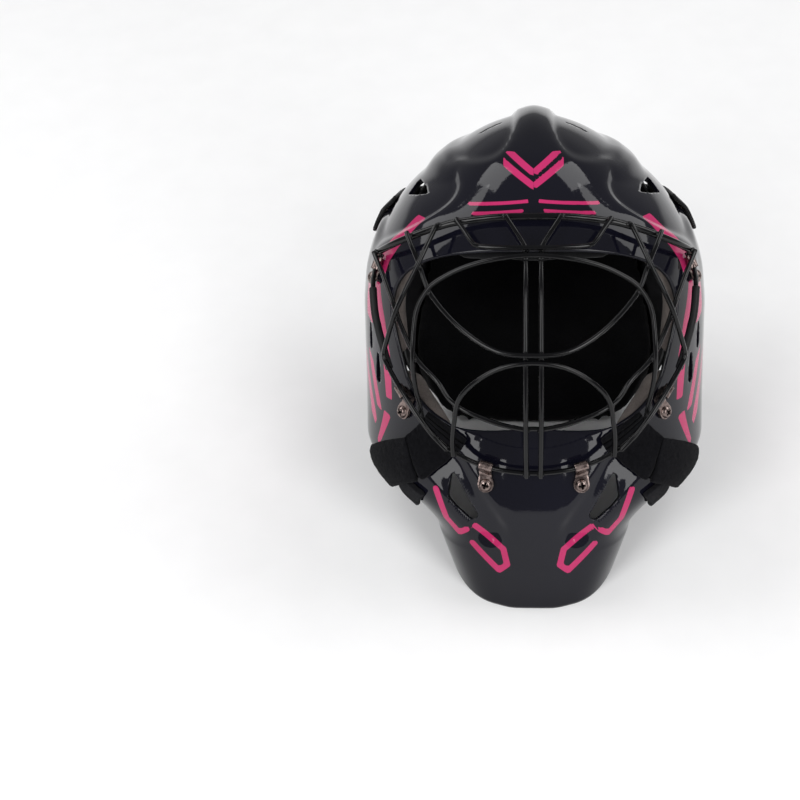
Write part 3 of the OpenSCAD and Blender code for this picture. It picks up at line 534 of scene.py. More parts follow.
def grey(v):
    """A grey as a linear colour."""
    return (v, v, v, 1)


# Sprayed and clear-coated ABS: gives a deep mirror gloss with a faint orange peel (2 mm waves) and
# hairline scuffs; the prints lie under the lacquer. The inside is bare moulded ABS, finely grained.
def lacquered_abs():
    m, t, shader, at = new_material("lacquered black ABS with printed bands")
    edge_off = add(t, "ShaderNodeAttribute", {"attribute_name": "print"}).outputs["Fac"]
    outside = add(t, "ShaderNodeAttribute", {"attribute_name": "outside"}).outputs["Fac"]
    band = add(t, "ShaderNodeMapRange", Value=edge_off, From_Min=-0.5, From_Max=0.5, To_Min=0.0,
               To_Max=1.0).outputs["Result"]
    is_print = ramp(t, band, [(0.42, grey(1)), (0.58, grey(0))])
    shown = add(t, "ShaderNodeMath", {"operation": "MULTIPLY"}, i0=is_print, i1=outside).outputs[0]
    cloud = add(t, "ShaderNodeTexNoise", Vector=at, Scale=9.0, Detail=3.0).outputs["Fac"]
    black = ramp(t, cloud, [(0.3, hex_colour("#0a0a12")), (0.7, hex_colour("#11111b"))])
    inside = hex_colour("#0c0c0e")
    ink = add(t, "ShaderNodeTexNoise", Vector=at, Scale=14.0, Detail=2.0).outputs["Fac"]
    magenta = ramp(t, ink, [(0.3, hex_colour("#A92457")), (0.7, hex_colour("#BA2D65"))])
    paint = add(t, "ShaderNodeMix", {"data_type": "RGBA"}, i0=shown, i6=black, i7=magenta).outputs[2]
    base = add(t, "ShaderNodeMix", {"data_type": "RGBA"}, i0=outside, i6=inside, i7=paint).outputs[2]
    drawn = add(t, "ShaderNodeMapping", Vector=at, Scale=(40, 40, 700)).outputs[0]
    scuff = add(t, "ShaderNodeTexNoise", Vector=drawn, Scale=1.0, Detail=4.0, Roughness=0.7).outputs["Fac"]
    gloss = ramp(t, scuff, [(0.55, grey(0.05)), (0.78, grey(0.12))])
    rough = add(t, "ShaderNodeMix", {"data_type": "FLOAT"}, i0=outside, i2=0.55, i3=gloss).outputs[0]
    peel = add(t, "ShaderNodeTexNoise", Vector=at, Scale=420.0, Detail=1.0).outputs["Fac"]
    grain = add(t, "ShaderNodeTexNoise", Vector=at, Scale=2600.0, Detail=2.0).outputs["Fac"]
    relief = add(t, "ShaderNodeMix", {"data_type": "FLOAT"}, i0=outside, i2=grain, i3=peel).outputs[0]
    bump = add(t, "ShaderNodeBump", Strength=0.05, Distance=0.0004, Height=relief).outputs[0]
    feed(t, shader, Base_Color=base, Roughness=rough, Normal=bump, IOR=1.5, Specular_IOR_Level=0.3)
    return m


def dress(obj, material, body, slot, *nodes):
    """Gives a piece its material and the body that it rides on, and hides the nodes that it stands for. The
    slot is not used.
    """
    obj.data.materials.clear()
    obj.data.materials.append(material)
    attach(obj, body)
    if nodes:
        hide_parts(*nodes)
    return obj


dress(shell, lacquered_abs(), "mask", "shell_gloss", "front_shell")

# FACE CAGE
# Twelve lengths of 3.2 mm steel wire and a 4.6 mm top bar, bent to the face and welded where they
# cross, then dipped in glossy black paint. Clips hold its rim to the shell, 8.5 mm clear of it.
# the two diameters, the rim's stand off the plain form, the height of one layer and the bow over the
# face, all in mm, and the steps between two knots
WIRE_D, BAR_D, RIM_STAND, LAYER, BOW, STEPS = 3.2, 4.6, 8.5, 3.32, 21, 10
SIDES = ((1, "left"), (-1, "right"))
# each wire's knots in front view: x, z, and how many layers it lies in front of the rim
TOP_BAR = [[0, 76, .3], [24, 75, .3], [44, 71, .3], [57, 66, .3], [71, 59, .3], [85, 51, .3], [96, 44, .2]]
RIM = [[96, 44, -1], [98.2, 38, -.6], [99, 32, -.25], [99, 25, 0], [97, 6, 0], [91, -9, 0], [85, -23, 0],
       [78, -35, -.3], [68, -47, 0], [60, -58, 0], [51, -69, 0], [41, -76, -.3], [30, -80.5, -.6],
       [15, -83, 0], [0, -84, 0]]
SIDE_WIRE = [[54, 67, 1.5], [64, 44, 1.1], [71, 30, 1], [78, 15, 1], [84.5, -4, 1.1], [86, -13, 1.2],
             [83, -19, 1.1], [78, -26, 1.1], [70, -38, 1.1], [60, -55, 1], [50.5, -70, 1]]
UPPER_LOOP = [[0, 2.5, 1], [19, 4, .7], [38, 14, .2], [56, 30, 0], [64, 44, 0], [71, 60, 1.65]]
LOWER_LOOP = [[0, -49, 0], [8, -49, 0], [25, -44, 0], [44, -34, 0], [53, -20, 0], [65, -8, 0],
              [76, 10, 0], [80, 18, 0], [88, 33, .4], [94, 44, 1.4]]
FACE_ARCH = [[0, 54, 1], [20, 52, 1], [37, 47, 1], [51, 39, 1], [58, 32, 1], [63, 22, 1], [65, 9, 1],
             [66, -10, 1], [67, -27, 0], [67, -41, -1], [66, -53, -1]]
MOUTH_ARCH = [[0, -2, 1], [16, -5, 1], [29, -14, 1], [40, -29, 1], [44, -48, 1], [46, -62, 1], [47, -74, 1]]
UPRIGHT = [[4.5, -86, 1.1], [4.5, -70, 1], [4.5, -49, 1], [4.5, -22, .3], [4.5, 2, 0], [4.5, 30, 0],
           [4.5, 54, 0], [5.4, 60, .1], [16, 75, 1.5]]
BROW_WIRE = [[0, 58, 1], [24, 58, 1], [31, 58.5, 1], [34, 60, 1], [39, 66, 1.2], [44, 71.5, 1.5]]


def smooth_route(points, per_span):
    """Catmull-Rom curve through the points, with per_span steps between two of them."""
    p = np.asarray(points, float)
    p = np.concatenate([2 * p[:1] - p[1:2], p, 2 * p[-1:] - p[-2:-1]])
    f = np.arange(per_span)[None, :, None] / per_span
    a, b, c, d = (p[k:len(p) - 3 + k][:, None] for k in range(4))
    q = 2 * b + (c - a) * f + (2 * a - 5 * b + 4 * c - d) * f ** 2 + (3 * b - a - 3 * c + d) * f ** 3
    return np.concatenate([(0.5 * q).reshape(-1, p.shape[1]), p[-2:-1]])


def form_normal(p):
    """Outward normal of the plain form, from its slope along x, y and z."""
    h = 0.05 * np.eye(3)
    return unit(np.stack([form(p + h[k]) - form(p - h[k]) for k in range(3)], -1))


def wire_line(route):
    """Centre line of a cage wire and the way out from it: feet on the plain form, lifted by the rim's
    stand, a bow of 21 mm over the face and the layer that the wire lies in."""
    x, z = route[:, 0], route[:, 1]
    foot = np.stack([x, face_y(x, z), z], -1)
    n = form_normal(foot)
    bow = BOW * np.maximum(0, 1 - (x / 96) ** 2) * np.maximum(0, 1 - ((z + 6) / 80) ** 2)
    return foot + n * (RIM_STAND + bow + route[:, 2] * LAYER)[:, None], n


def both_sides(route):
    """A route that starts on the middle line, led by its mirror image."""
    r = np.asarray(route, float)
    return np.concatenate([r[:0:-1] * [-1, 1, 1], r])


def one_side(route, s):
    """A route on the side s."""
    return np.asarray(route, float) * [s, 1, 1]


def path_frame(path, outs):
    """Unit tangent, and two unit directions across it, of which a leans to outs."""
    t = unit(np.gradient(path, axis=0))
    b = unit(np.cross(t, outs))
    return t, np.cross(b, t), b


def loft(name, loops, spans=None, runs=None):
    """A closed skin through closed loops (n x k points), with a flat cap at each end. runs holds each
    loop's distance along the piece, spans each point's distance across it, both in mm."""
    n, k = loops.shape[:2]
    obj = mesh_object(name, loops.reshape(-1, 3), capped_faces(n, k))
    if runs is not None:
        put_attribute(obj, "run", np.repeat(runs, k) / 1000)
        put_attribute(obj, "span", np.broadcast_to(spans, (n, k)).reshape(-1) / 1000)
    return obj


def round_bar(name, path, outs, radius, sides=16, tip=0.35):
    """A round bar along the path whose ends are domed: the last rings step in on a quarter circle
    that is drawn out along the bar by the share tip."""
    t, a, b = path_frame(path, outs)
    w = np.linspace(0, 2 * np.pi, sides, endpoint=False)[:, None]
    q = np.radians([12, 35, 60, 80])
    shrink = np.concatenate([np.cos(q)[::-1], np.ones(len(path)), np.cos(q)]) * radius
    slide = np.concatenate([-np.sin(q)[::-1], np.zeros(len(path)), np.sin(q)]) * radius * tip
    index = np.concatenate([[0] * 4, np.arange(len(path)), [len(path) - 1] * 4])
    centre = path[index] + t[index] * slide[:, None]
    across = a[index][:, None] * np.cos(w) + b[index][:, None] * np.sin(w)
    loops = centre[:, None] + across * shrink[:, None, None]
    return loft(name, loops[:, ::-1])


# Dip-painted mild steel wire: a thick glossy black skin, slightly uneven in gloss, with tiny runs.
def painted_wire():
    m, t, shader, at = new_material("dip painted black steel wire")
    patch = add(t, "ShaderNodeTexNoise", Vector=at, Scale=60.0, Detail=3.0).outputs["Fac"]
    fine = add(t, "ShaderNodeTexNoise", Vector=at, Scale=900.0, Detail=2.0).outputs["Fac"]
    black = ramp(t, patch, [(0.35, hex_colour("#030304")), (0.7, hex_colour("#08080a"))])
    gloss = ramp(t, fine, [(0.3, grey(0.05)), (0.75, grey(0.1))])
    bump = add(t, "ShaderNodeBump", Strength=0.08, Distance=0.0003, Height=fine).outputs[0]
    feed(t, shader, Base_Color=black, Roughness=gloss, Normal=bump, IOR=1.5, Specular_IOR_Level=0.3)
    return m


wire_paint = painted_wire()
cage_lines = {}


def cage_wire(node, route, diameter=WIRE_D, part=None):
    """One wire along its route, or along the part of it between two knots, dressed for its node."""
    line, outs = wire_line(smooth_route(route, STEPS))
    if part:
        kept = slice(part[0] * STEPS, part[1] * STEPS + 1)
        line, outs = line[kept], outs[kept]
    cage_lines[node] = (line, diameter)
    wire = round_bar(node.replace("cage_", "wire_"), line, outs, diameter / 2)
    dress(wire, wire_paint, "mask", "cage_wire", node)


cage_wire("cage_top_bar", both_sides(TOP_BAR), BAR_D)
cage_wire("cage_rim_left", one_side(RIM, 1), part=(0, 9))
cage_wire("cage_rim_right", one_side(RIM, -1), part=(0, 9))
rim_round = np.concatenate([one_side(RIM, -1), one_side(RIM, 1)[-2::-1]])
cage_wire("cage_rim_bottom", rim_round, part=(9, len(rim_round) - 10))
for s, side_name in SIDES:
    cage_wire("cage_side_wire_" + side_name, one_side(SIDE_WIRE, s))
cage_wire("cage_upper_loop", both_sides(UPPER_LOOP))
cage_wire("cage_lower_loop", both_sides(LOWER_LOOP))
cage_wire("cage_face_arch", both_sides(FACE_ARCH))
cage_wire("cage_mouth_arch", both_sides(MOUTH_ARCH))
cage_wire("cage_brow_wire", both_sides(BROW_WIRE))
bars = []
for s in (-1, 1):
    line, outs = wire_line(smooth_route(one_side(UPRIGHT, s), STEPS))
    cage_lines["upright%d" % s] = (line, WIRE_D)
    bars.append(round_bar("wire_upright_bars" if s < 0 else "bar", line, outs, WIRE_D / 2))


def joined(objects):
    """Joins mesh objects into the first one."""
    with bpy.context.temp_override(active_object=objects[0], object=objects[0],
                                   selected_objects=objects, selected_editable_objects=objects):
        bpy.ops.object.join()
    return objects[0]


dress(joined(bars), wire_paint, "mask", "cage_wire", "cage_upright_bars")


def bead_rows(count, sides):
    """Unit sphere as rows of rings from pole to pole."""
    e = np.linspace(-np.pi / 2, np.pi / 2, count)[:, None]
    w = np.linspace(0, 2 * np.pi, sides, endpoint=False)[None]
    return np.stack([np.cos(e) * np.cos(w), np.cos(e) * np.sin(w), np.sin(e) + 0 * w], -1)


def weld_beads(count=7, sides=10):
    """Where two wires' centre lines pass within their diameter, one small flattened bead fills the
    nook; the next one on the same wire is at least 9 mm away."""
    names = list(cage_lines)
    beads, faces, start = [], [], 0
    bead = bead_rows(count, sides) * [2.5, 2.1, 1.5]
    for i, first in enumerate(names):
        for second in names[i + 1:]:
            (p, d1), (q, d2) = cage_lines[first], cage_lines[second]
            gap = np.linalg.norm(p[:, None] - q[None], axis=-1)
            near = gap < (d1 + d2) / 2 + 0.9
            while near.any():
                k = np.unravel_index(np.where(near, gap, 99).argmin(), gap.shape)
                mid = (p[k[0]] * d2 + q[k[1]] * d1) / (d1 + d2)
                axis = unit(q[k[1]] - p[k[0]])
                side, up = frame_at(axis, np.gradient(p, axis=0)[k[0]])
                ball = mid + bead[..., :1] * side + bead[..., 1:2] * up + bead[..., 2:] * axis
                beads.append(ball.reshape(-1, 3))
                faces += [list(f) for f in grid_faces(count, sides, True, start)]
                start += count * sides
                near &= (np.linalg.norm(p - mid, axis=-1) > 9)[:, None]
    return turned_out(mesh_object("weld_beads", np.concatenate(beads), faces))


dress(weld_beads(), wire_paint, "mask", "cage_wire")

# RUBBER SLEEVES
# Two lengths of black rubber tube drawn over the rim wire at the cheeks, so that it doesn't mark
# the shell. They are 5.2 mm thick, a little drawn in at the ends, with a dull skin.
SLEEVE_R = 2.6
# the steps of the rim's line that a sleeve covers
SLEEVE_STEPS = slice(31, 60)


# Extruded rubber: black and dull, finely grained, with a little dust in it.
def rubber():
    m, t, shader, at = new_material("extruded black rubber tube")
    fine = add(t, "ShaderNodeTexNoise", Vector=at, Scale=1400.0, Detail=3.0).outputs["Fac"]
    dust = add(t, "ShaderNodeTexNoise", Vector=at, Scale=120.0, Detail=4.0).outputs["Fac"]
    black = ramp(t, dust, [(0.4, hex_colour("#08080a")), (0.8, hex_colour("#121214"))])
    dull = ramp(t, fine, [(0.3, grey(0.45)), (0.8, grey(0.62))])
    bump = add(t, "ShaderNodeBump", Strength=0.2, Distance=0.0002, Height=fine).outputs[0]
    feed(t, shader, Base_Color=black, Roughness=dull, Normal=bump, Specular_IOR_Level=0.3)
    return m


sleeve_rubber = rubber()
for s, side_name in SIDES:
    line, outs = wire_line(smooth_route(one_side(RIM, s), STEPS))
    tube = round_bar("sleeve_" + side_name, line[SLEEVE_STEPS], outs[SLEEVE_STEPS], SLEEVE_R, 20, tip=0.4)
    dress(tube, sleeve_rubber, "mask", "sleeve_vinyl", "rim_sleeve_" + side_name)

# CLIPS AND SCREWS
# Six galvanised steel clips: a strip 1.2 mm thick goes round the rim wire and both its ends lie
# under a pan-head cross screw, which goes through the shell into a nut behind it.
# the strip's thickness and width, its height over the shell, its play round the wire, and the radius
# of the ear under the screw, in mm
CLIP_T, CLIP_W, CLIP_SEAT, CLIP_PLAY, EAR_R = 1.2, 8.5, 0.7, 0.4, 5.2
# the rim's knots that the temple, jaw and chin clips go round
CLIP_KNOTS = [1, 7, 12]


# Galvanised pressed steel: a brownish grey metal with 2 mm spangles and finer streaks in its polish,
# and painted shade, near black, in the screws' cross recesses.
def galvanised():
    m, t, shader, at = new_material("galvanised pressed steel")
    spangle = add(t, "ShaderNodeTexVoronoi", {"feature": "F1"}, Vector=at, Scale=500.0).outputs["Color"]
    tone = add(t, "ShaderNodeSeparateColor", i0=spangle).outputs[0]
    streak = add(t, "ShaderNodeTexNoise", Vector=at, Scale=300.0, Detail=4.0).outputs["Fac"]
    both = add(t, "ShaderNodeMath", {"operation": "MULTIPLY_ADD"}, i0=tone, i1=0.4, i2=streak).outputs[0]
    dull = ramp(t, both, [(0.35, hex_colour("#4F4341")), (0.9, hex_colour("#8F807B"))])
    # the screws' cross recesses are coloured near black: painted shade in the recess
    recess = add(t, "ShaderNodeAttribute", {"attribute_name": "recess"}).outputs["Fac"]
    recess_shade = hex_colour("#0d0b0b")
    base = add(t, "ShaderNodeMix", {"data_type": "RGBA"}, i0=recess, i6=dull, i7=recess_shade).outputs[2]
    polish = ramp(t, streak, [(0.3, grey(0.2)), (0.75, grey(0.38))])
    bump = add(t, "ShaderNodeBump", Strength=0.15, Distance=0.0002, Height=streak).outputs[0]
    feed(t, shader, Base_Color=base, Roughness=polish, Normal=bump, Metallic=1.0)
    return m


zinc = galvanised()
rim_line = wire_line(smooth_route(one_side(RIM, 1), 2))[0]


def clip_strip(name, k, s):
    """The strip's path in the plane across the wire: along the shell from the ear, round the wire and
    back on top of itself. Its width narrows to a half disc round the screw."""
    foot, n = screw_feet[k], screw_outs[k]
    i = CLIP_KNOTS[k] * 2
    along = unit(rim_line[i + 1] - rim_line[i - 1])
    centre = (2 * rim_line[i] + rim_line[i - 1] + rim_line[i + 1]) / 4
    up = unit(n - along * (n @ along))
    over = np.cross(along, up)
    reach = (foot - centre) @ over
    over = over * np.sign(reach)
    reach = abs(reach)
    ground = (foot - centre) @ up
    low, high = ground + CLIP_SEAT + CLIP_T / 2, ground + CLIP_SEAT + CLIP_T * 1.5
    r = WIRE_D / 2 + CLIP_PLAY + CLIP_T / 2
    ear = reach + EAR_R
    # the loop goes from the angle where the lower run meets it to that of the upper run
    w = np.radians(np.linspace(-62, -318, 30))
    loop = np.stack([np.cos(w) * r, np.sin(w) * r], -1)
    low_run = np.stack([np.linspace(ear, r * 0.9 + 1.6, 14), np.full(14, low)], -1)
    high_run = np.stack([np.linspace(r * 0.9 + 2.2, ear, 14), np.full(14, high)], -1)
    path = np.concatenate([low_run, loop, high_run])
    for _ in range(3):
        path[1:-1] = (path[:-2] + 2 * path[1:-1] + path[2:]) / 4
    d = path[:, 0] - reach
    disk = np.sqrt(np.maximum(EAR_R ** 2 - d ** 2, 0.3))
    half = np.where(d > 0, disk, np.clip(EAR_R - 0.02 * d ** 2, CLIP_W / 2, EAR_R))
    half = np.where(path[:, 0] < reach - 4, CLIP_W / 2, half)
    # the screw may lie beside the wire's square, and the strip drifts over to it
    drift = (foot - centre) @ along
    shift = drift * ease((path[:, 0] - r) / max(reach - r, 1))
    v = np.linspace(-1, 1, 9)
    grid = (centre + path[:, None, :1] * over + path[:, None, 1:] * up
            + along * (shift[:, None] + half[:, None] * v)[..., None])
    obj = mesh_object(name, mirrored(grid.reshape(-1, 3), s), grid_faces(len(path), 9, False))
    modify(obj, "SOLIDIFY", thickness=CLIP_T / 1000, offset=0.0, use_even_offset=True)
    modify(obj, "BEVEL", width=0.00022, segments=2, limit_method="ANGLE", angle_limit=math.radians(50))
    return applied(obj)


for k, place_name in enumerate(("temple", "jaw", "chin")):
    for s, side_name in SIDES:
        spot = "%s_%s" % (place_name, side_name)
        dress(clip_strip("clip_strip_" + spot, k, s), zinc, "mask", "zinc_steel", "clip_" + spot)

# radius and height of the pan head in mm, and the points round it
HEAD_R, HEAD_H, HEAD_SIDES = 4.2, 2.5, 64


def screw_rows(turn):
    """Pan head as a surface of revolution with a cross recess pressed in: rings from the rim's
    underside over the shoulder to the middle, sunk inside the cross."""
    f = np.linspace(0, 1, 22)[:, None]
    w = np.linspace(0, 2 * np.pi, HEAD_SIDES, endpoint=False)[None]
    r = HEAD_R * (1 - f)
    pan = HEAD_H * (1 - (r / HEAD_R) ** 6) * 0.72 + HEAD_H * 0.28 * (1 - (r / HEAD_R) ** 2)
    z = np.where(f < 0.001, 0, pan)
    x, y = r * np.cos(w), r * np.sin(w)
    c, s = math.cos(turn), math.sin(turn)
    a, b = np.abs(c * x + s * y), np.abs(-s * x + c * y)
    cross = np.maximum(ease((0.75 - a) / 0.3) * ease((2.5 - b) / 0.5),
                       ease((0.75 - b) / 0.3) * ease((2.5 - a) / 0.5))
    return np.stack([x, y, z - cross * (1.3 - 0.25 * r), cross], -1)


heads, recess, faces, start = [], [], [], 0
for s in (-1, 1):
    for k in range(3):
        foot, n = mirrored(screw_feet[k], s), mirrored(screw_outs[k], s)
        side, up = frame_at(n, np.array([0.0, 0, 1]))
        rows = screw_rows(0.5 + 0.9 * k + s)
        base = foot + n * (CLIP_SEAT + 2 * CLIP_T + 0.1)
        ring = base + rows[..., :1] * side + rows[..., 1:2] * up + rows[..., 2:3] * n
        skirt = base + (rows[:1, :, :1] * side + rows[:1, :, 1:2] * up) * 0.45
        shank = skirt - n * (SHELL_T + 3 + 2 * CLIP_T + CLIP_SEAT + 0.5)
        block = np.concatenate([shank, skirt, ring])
        heads.append(block.reshape(-1, 3))
        recess.append(np.concatenate([np.zeros((2, HEAD_SIDES)), rows[..., 3]]).ravel())
        faces += [list(f) for f in grid_faces(len(block), HEAD_SIDES, True, start)]
        faces += [list(range(start, start + HEAD_SIDES))]
        start += len(block) * HEAD_SIDES
screws = mesh_object("pan_head_screws", np.concatenate(heads), faces)
# marks the cross recess, which the material colours near black as painted shade
put_attribute(screws, "recess", np.concatenate(recess))
turned_out(screws)
screws.data.set_sharp_from_angle(angle=math.radians(40))
dress(screws, zinc, "mask", "zinc_steel", "clip_screws")


def coat(node, material):
    """Gives a piece that is kept from the frame another material."""
    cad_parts[node].data.materials.clear()
    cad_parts[node].data.materials.append(material)


coat("clip_nuts", zinc)

# FOAM PADS
# Blocks of closed-cell foam faced with brushed fabric, glued inside the shell 0.8 mm clear of it: a
# near-black brow band and crown, partly the fabric's own black and partly painted shade of the mask's
# inside, and grey temples and cheeks. Faces crown a little and edges are rolled.
def pad_cell(u, r, thick, nu, nr, extra, s):
    """Two grids of points, outer and inner, over a patch laid out from the opening's edge: u round the
    face and r outward in degrees; the corners are drawn in and the inner face rolls down to them."""
    a, b = np.meshgrid(np.linspace(-1, 1, nu), np.linspace(-1, 1, nr))
    at_u = (u[0] + u[1]) / 2 + (u[1] - u[0]) / 2 * a * np.sqrt(1 - 0.25 * b * b)
    at_r = (r[0] + r[1]) / 2 + (r[1] - r[0]) / 2 * b * np.sqrt(1 - 0.25 * a * a)
    d = facing(opening_rho(at_u) + at_r, at_u)
    top, n = skin(d), skin_normal(d, 0.05)
    m = np.maximum(np.abs(a), np.abs(b))
    low = SHELL_T + 0.8 + extra
    roll = 1 - 0.35 * m ** 4
    outer_face = top - n * (low + 0.7 + 1.6 * m[..., None] ** 8)
    inner_face = top - n * (low + (thick - 0.8) * roll - 1.2 * m ** 8)[..., None]
    return mirrored(outer_face, s), mirrored(inner_face, s)


def slab_object(name, top, bottom):
    """A closed block between two open grids of points."""
    rows, cols = top.shape[:2]
    size = rows * cols
    rim = np.concatenate([np.arange(cols - 1), np.arange(cols - 1, size - 1, cols),
                          np.arange(size - 1, size - cols, -1), np.arange(size - cols, 0, -cols)])
    nxt = np.roll(rim, -1)
    faces = np.concatenate([grid_faces(rows, cols, False), grid_faces(rows, cols, False, size, True),
                            np.stack([rim, rim + size, nxt + size, nxt], -1)])
    return turned_out(mesh_object(name, np.concatenate([top.reshape(-1, 3), bottom.reshape(-1, 3)]), faces))


def inflated(obj, voxel=0.004, cap=0.0011):
    """Foam under its cover: the block is remeshed, blown up a little by cloth pressure with no point
    allowed to move further than the cap (metres), and smoothed by one subdivision."""
    modify(obj, "REMESH", mode="VOXEL", voxel_size=voxel, use_smooth_shade=True)
    applied(obj)
    start = np.empty(len(obj.data.vertices) * 3)
    obj.data.vertices.foreach_get("co", start)
    settings = modify(obj, "CLOTH").settings
    settings.use_pressure = True
    settings.uniform_pressure_force = 3.5
    settings.effector_weights.gravity = 0
    settings.tension_stiffness = 20
    settings.compression_stiffness = 20
    scene = bpy.context.scene
    for f in range(1, 21):
        scene.frame_set(f)
    made = bpy.data.meshes.new_from_object(obj.evaluated_get(bpy.context.evaluated_depsgraph_get()))
    end = np.empty(len(start))
    made.vertices.foreach_get("co", end)
    obj.modifiers.clear()
    scene.frame_set(1)
    move = (end - start).reshape(-1, 3)
    length = np.linalg.norm(move, axis=-1, keepdims=True)
    move *= np.minimum(1, cap / np.maximum(length, 1e-9))
    obj.data.vertices.foreach_set("co", (start.reshape(-1, 3) + move).ravel())
    obj.data.update()
    modify(obj, "SUBSURF", levels=1, render_levels=1)
    applied(obj)
    obj.data.shade_smooth()
    return obj


# Brushed polyester over closed-cell foam: no shine, a short nap with small pills on a 1.6 mm knit.
# Warm dark grey at the temples and cheeks; near black elsewhere, partly the fabric's own colour and
# partly painted shade of the mask's inside.
def brushed_fabric(name, low, high):
    m, t, shader, at = new_material(name)
    nap = add(t, "ShaderNodeTexNoise", Vector=at, Scale=1100.0, Detail=4.0, Roughness=0.7).outputs["Fac"]
    knit = add(t, "ShaderNodeTexVoronoi", {"feature": "F1"}, Vector=at, Scale=620.0,
               Randomness=0.6).outputs["Distance"]
    worn = add(t, "ShaderNodeTexNoise", Vector=at, Scale=45.0, Detail=4.0).outputs["Fac"]
    tone = add(t, "ShaderNodeMath", {"operation": "MULTIPLY_ADD"}, i0=nap, i1=0.6, i2=worn).outputs[0]
    relief = add(t, "ShaderNodeMath", {"operation": "MULTIPLY_ADD"}, i0=knit, i1=0.7, i2=nap).outputs[0]
    shade = ramp(t, tone, [(0.5, hex_colour(low)), (1.1, hex_colour(high))])
    bump = add(t, "ShaderNodeBump", Strength=0.5, Distance=0.0005, Height=relief).outputs[0]
    feed(t, shader, Base_Color=shade, Normal=bump, Roughness=0.95, Sheen_Weight=0.1, Sheen_Roughness=0.5,
         Specular_IOR_Level=0.1)
    return m


foam_cover = brushed_fabric("brushed warm grey polyester over foam", "#423c3a", "#69625e")
# the near-black copy of the fabric is partly painted shade of the mask's inside
black_foam_and_shade = brushed_fabric("brushed black polyester over foam darkened for shade", "#050506", "#0e0e10")
# node, reach round the face and outward from the opening in degrees, thickness in mm, the grid's two
# counts, how much further in than its 0.8 mm the pad lies, and its side
PADS = [("brow_pad", (44, 136), (-3, 14), 12, 60, 9, 0, 1)]
PADS += [("crown_pad", (56, 124), (28, 70), 12, 36, 22, 0.8, 1)]
PADS += [("temple_pad_" + name, (-14, 37), (0.8, 32), 14, 24, 16, 0.3, s) for s, name in SIDES]
PADS += [("cheek_pad_" + name, (-48, -18), (0.8, 34), 23, 22, 16, 0, s) for s, name in SIDES]
for node, u, r, thick, nu, nr, extra, s in PADS:
    piece = inflated(slab_object("foam_" + node, *pad_cell(u, r, thick, nu, nr, extra, s)))
    dress(piece, black_foam_and_shade if node in ("crown_pad", "brow_pad") else foam_cover, "mask", "foam", node)

# BACK PLATE
# A cap of black polypropylene behind the head, moulded to the shell's own form, with a rolled edge,
# stiffening grooves and a foam pad glued inside. The elastic straps draw it to the shell.
# the plate's thickness, how far under it the foam starts, the foam's thickness, and y at the nape
PLATE_T, FOAM_GAP, FOAM_T, NAPE_Y = 3, 4.1, 10.6, 74
# the plate's lower edge lies 1.5 mm over the rim's plane at the nape
PLATE_LOW = -RIM_Z - (NAPE_Y - RIM_Y) * math.tan(math.radians(LEAN)) - 1.5


def plate_dirs(u, t):
    """Directions to the back, u round the plate and t outward: its outline, seen from behind, is an
    ellipse above, 101 mm half wide and 105 mm high, and squarer below."""
    c, s = np.cos(np.radians(u)), np.sin(np.radians(u))
    m = np.where(s > 0, 1.95, 4)
    high = np.where(s > 0, 105, PLATE_LOW)
    r = ((np.abs(c) / 101) ** m + (np.abs(s) / high) ** m) ** (-1 / m) * t
    x, z = r * c, r * s
    n = squareness(z)
    y = rear_depth(z) * np.maximum(0, 1 - (np.abs(x) / half_width(z)) ** n) ** (1 / n)
    return unit(np.stack([x, y, z], -1))


def rear_cap(name, size, depth, thick, cols, rows, crown=0.0, relief=None, rounding=0.0, roll=0.0):
    """A cap laid out in rings from its middle; relief lowers the outer face at ring share t and angle
    u. A roll thickens the cap towards the nape and hangs its inner edge to the height of the outer."""
    u, t = np.meshgrid(np.linspace(0, 360, cols, endpoint=False), np.linspace(0.012, 1, rows))
    reach = size + (0.98 - size) * ease(-1.5 * np.sin(np.radians(u))) if roll else size
    d = plate_dirs(u, reach * t)
    top, n = skin(d), skin_normal(d, 0.03)
    near = ease((-top[..., 2] - 40) / 45) if roll else 0 * t
    k = 1 - crown * (1 - near) * t ** 4 + roll * near
    edge_drop = rounding * ease((t - 0.93) / 0.07) ** 2
    down = np.array([0, 0, math.tan(math.radians(LEAN))])
    outer = depth + (relief(u, t) if relief else 0 * t) + edge_drop
    inner = depth + thick * k - 0.3 * edge_drop
    a = top - n * outer[..., None] - down * (outer * near)[..., None]
    b = top - n * inner[..., None] - down * (inner * near)[..., None]
    rings = np.concatenate([b, a[::-1]])
    return turned_out(mesh_object(name, rings.reshape(-1, 3), capped_faces(len(rings), cols)))


def plate_relief(u, t):
    """A groove that follows the edge and ten short ones fanned over the middle, 0.9 mm deep."""
    ring_groove = bell((t - 0.82) / 0.018)
    fan = bell((np.mod(u + 18, 36) - 18) * t / 1.3) * ease((t - 0.3) / 0.04) * ease((0.66 - t) / 0.04)
    return 0.9 * np.minimum(1, ring_groove + fan)


# Injection-moulded polypropylene: near black, satin, with a spark-eroded grain of 0.4 mm.
def grained_plastic():
    m, t, shader, at = new_material("spark grained black polypropylene")
    grain = add(t, "ShaderNodeTexNoise", Vector=at, Scale=2400.0, Detail=3.0).outputs["Fac"]
    rub = add(t, "ShaderNodeTexNoise", Vector=at, Scale=50.0, Detail=5.0).outputs["Fac"]
    black = ramp(t, rub, [(0.4, hex_colour("#0f0f11")), (0.75, hex_colour("#1a1a1d"))])
    satin = ramp(t, rub, [(0.3, grey(0.38)), (0.75, grey(0.52))])
    bump = add(t, "ShaderNodeBump", Strength=0.35, Distance=0.0003, Height=grain).outputs[0]
    feed(t, shader, Base_Color=black, Roughness=satin, Normal=bump, IOR=1.49)
    return m


satin_plastic = grained_plastic()
piece = rear_cap("back_cap", 1, 0, PLATE_T, 180, 70, relief=plate_relief, rounding=1.1)
dress(piece, satin_plastic, "back_plate", "black_plastic", "back_plate")
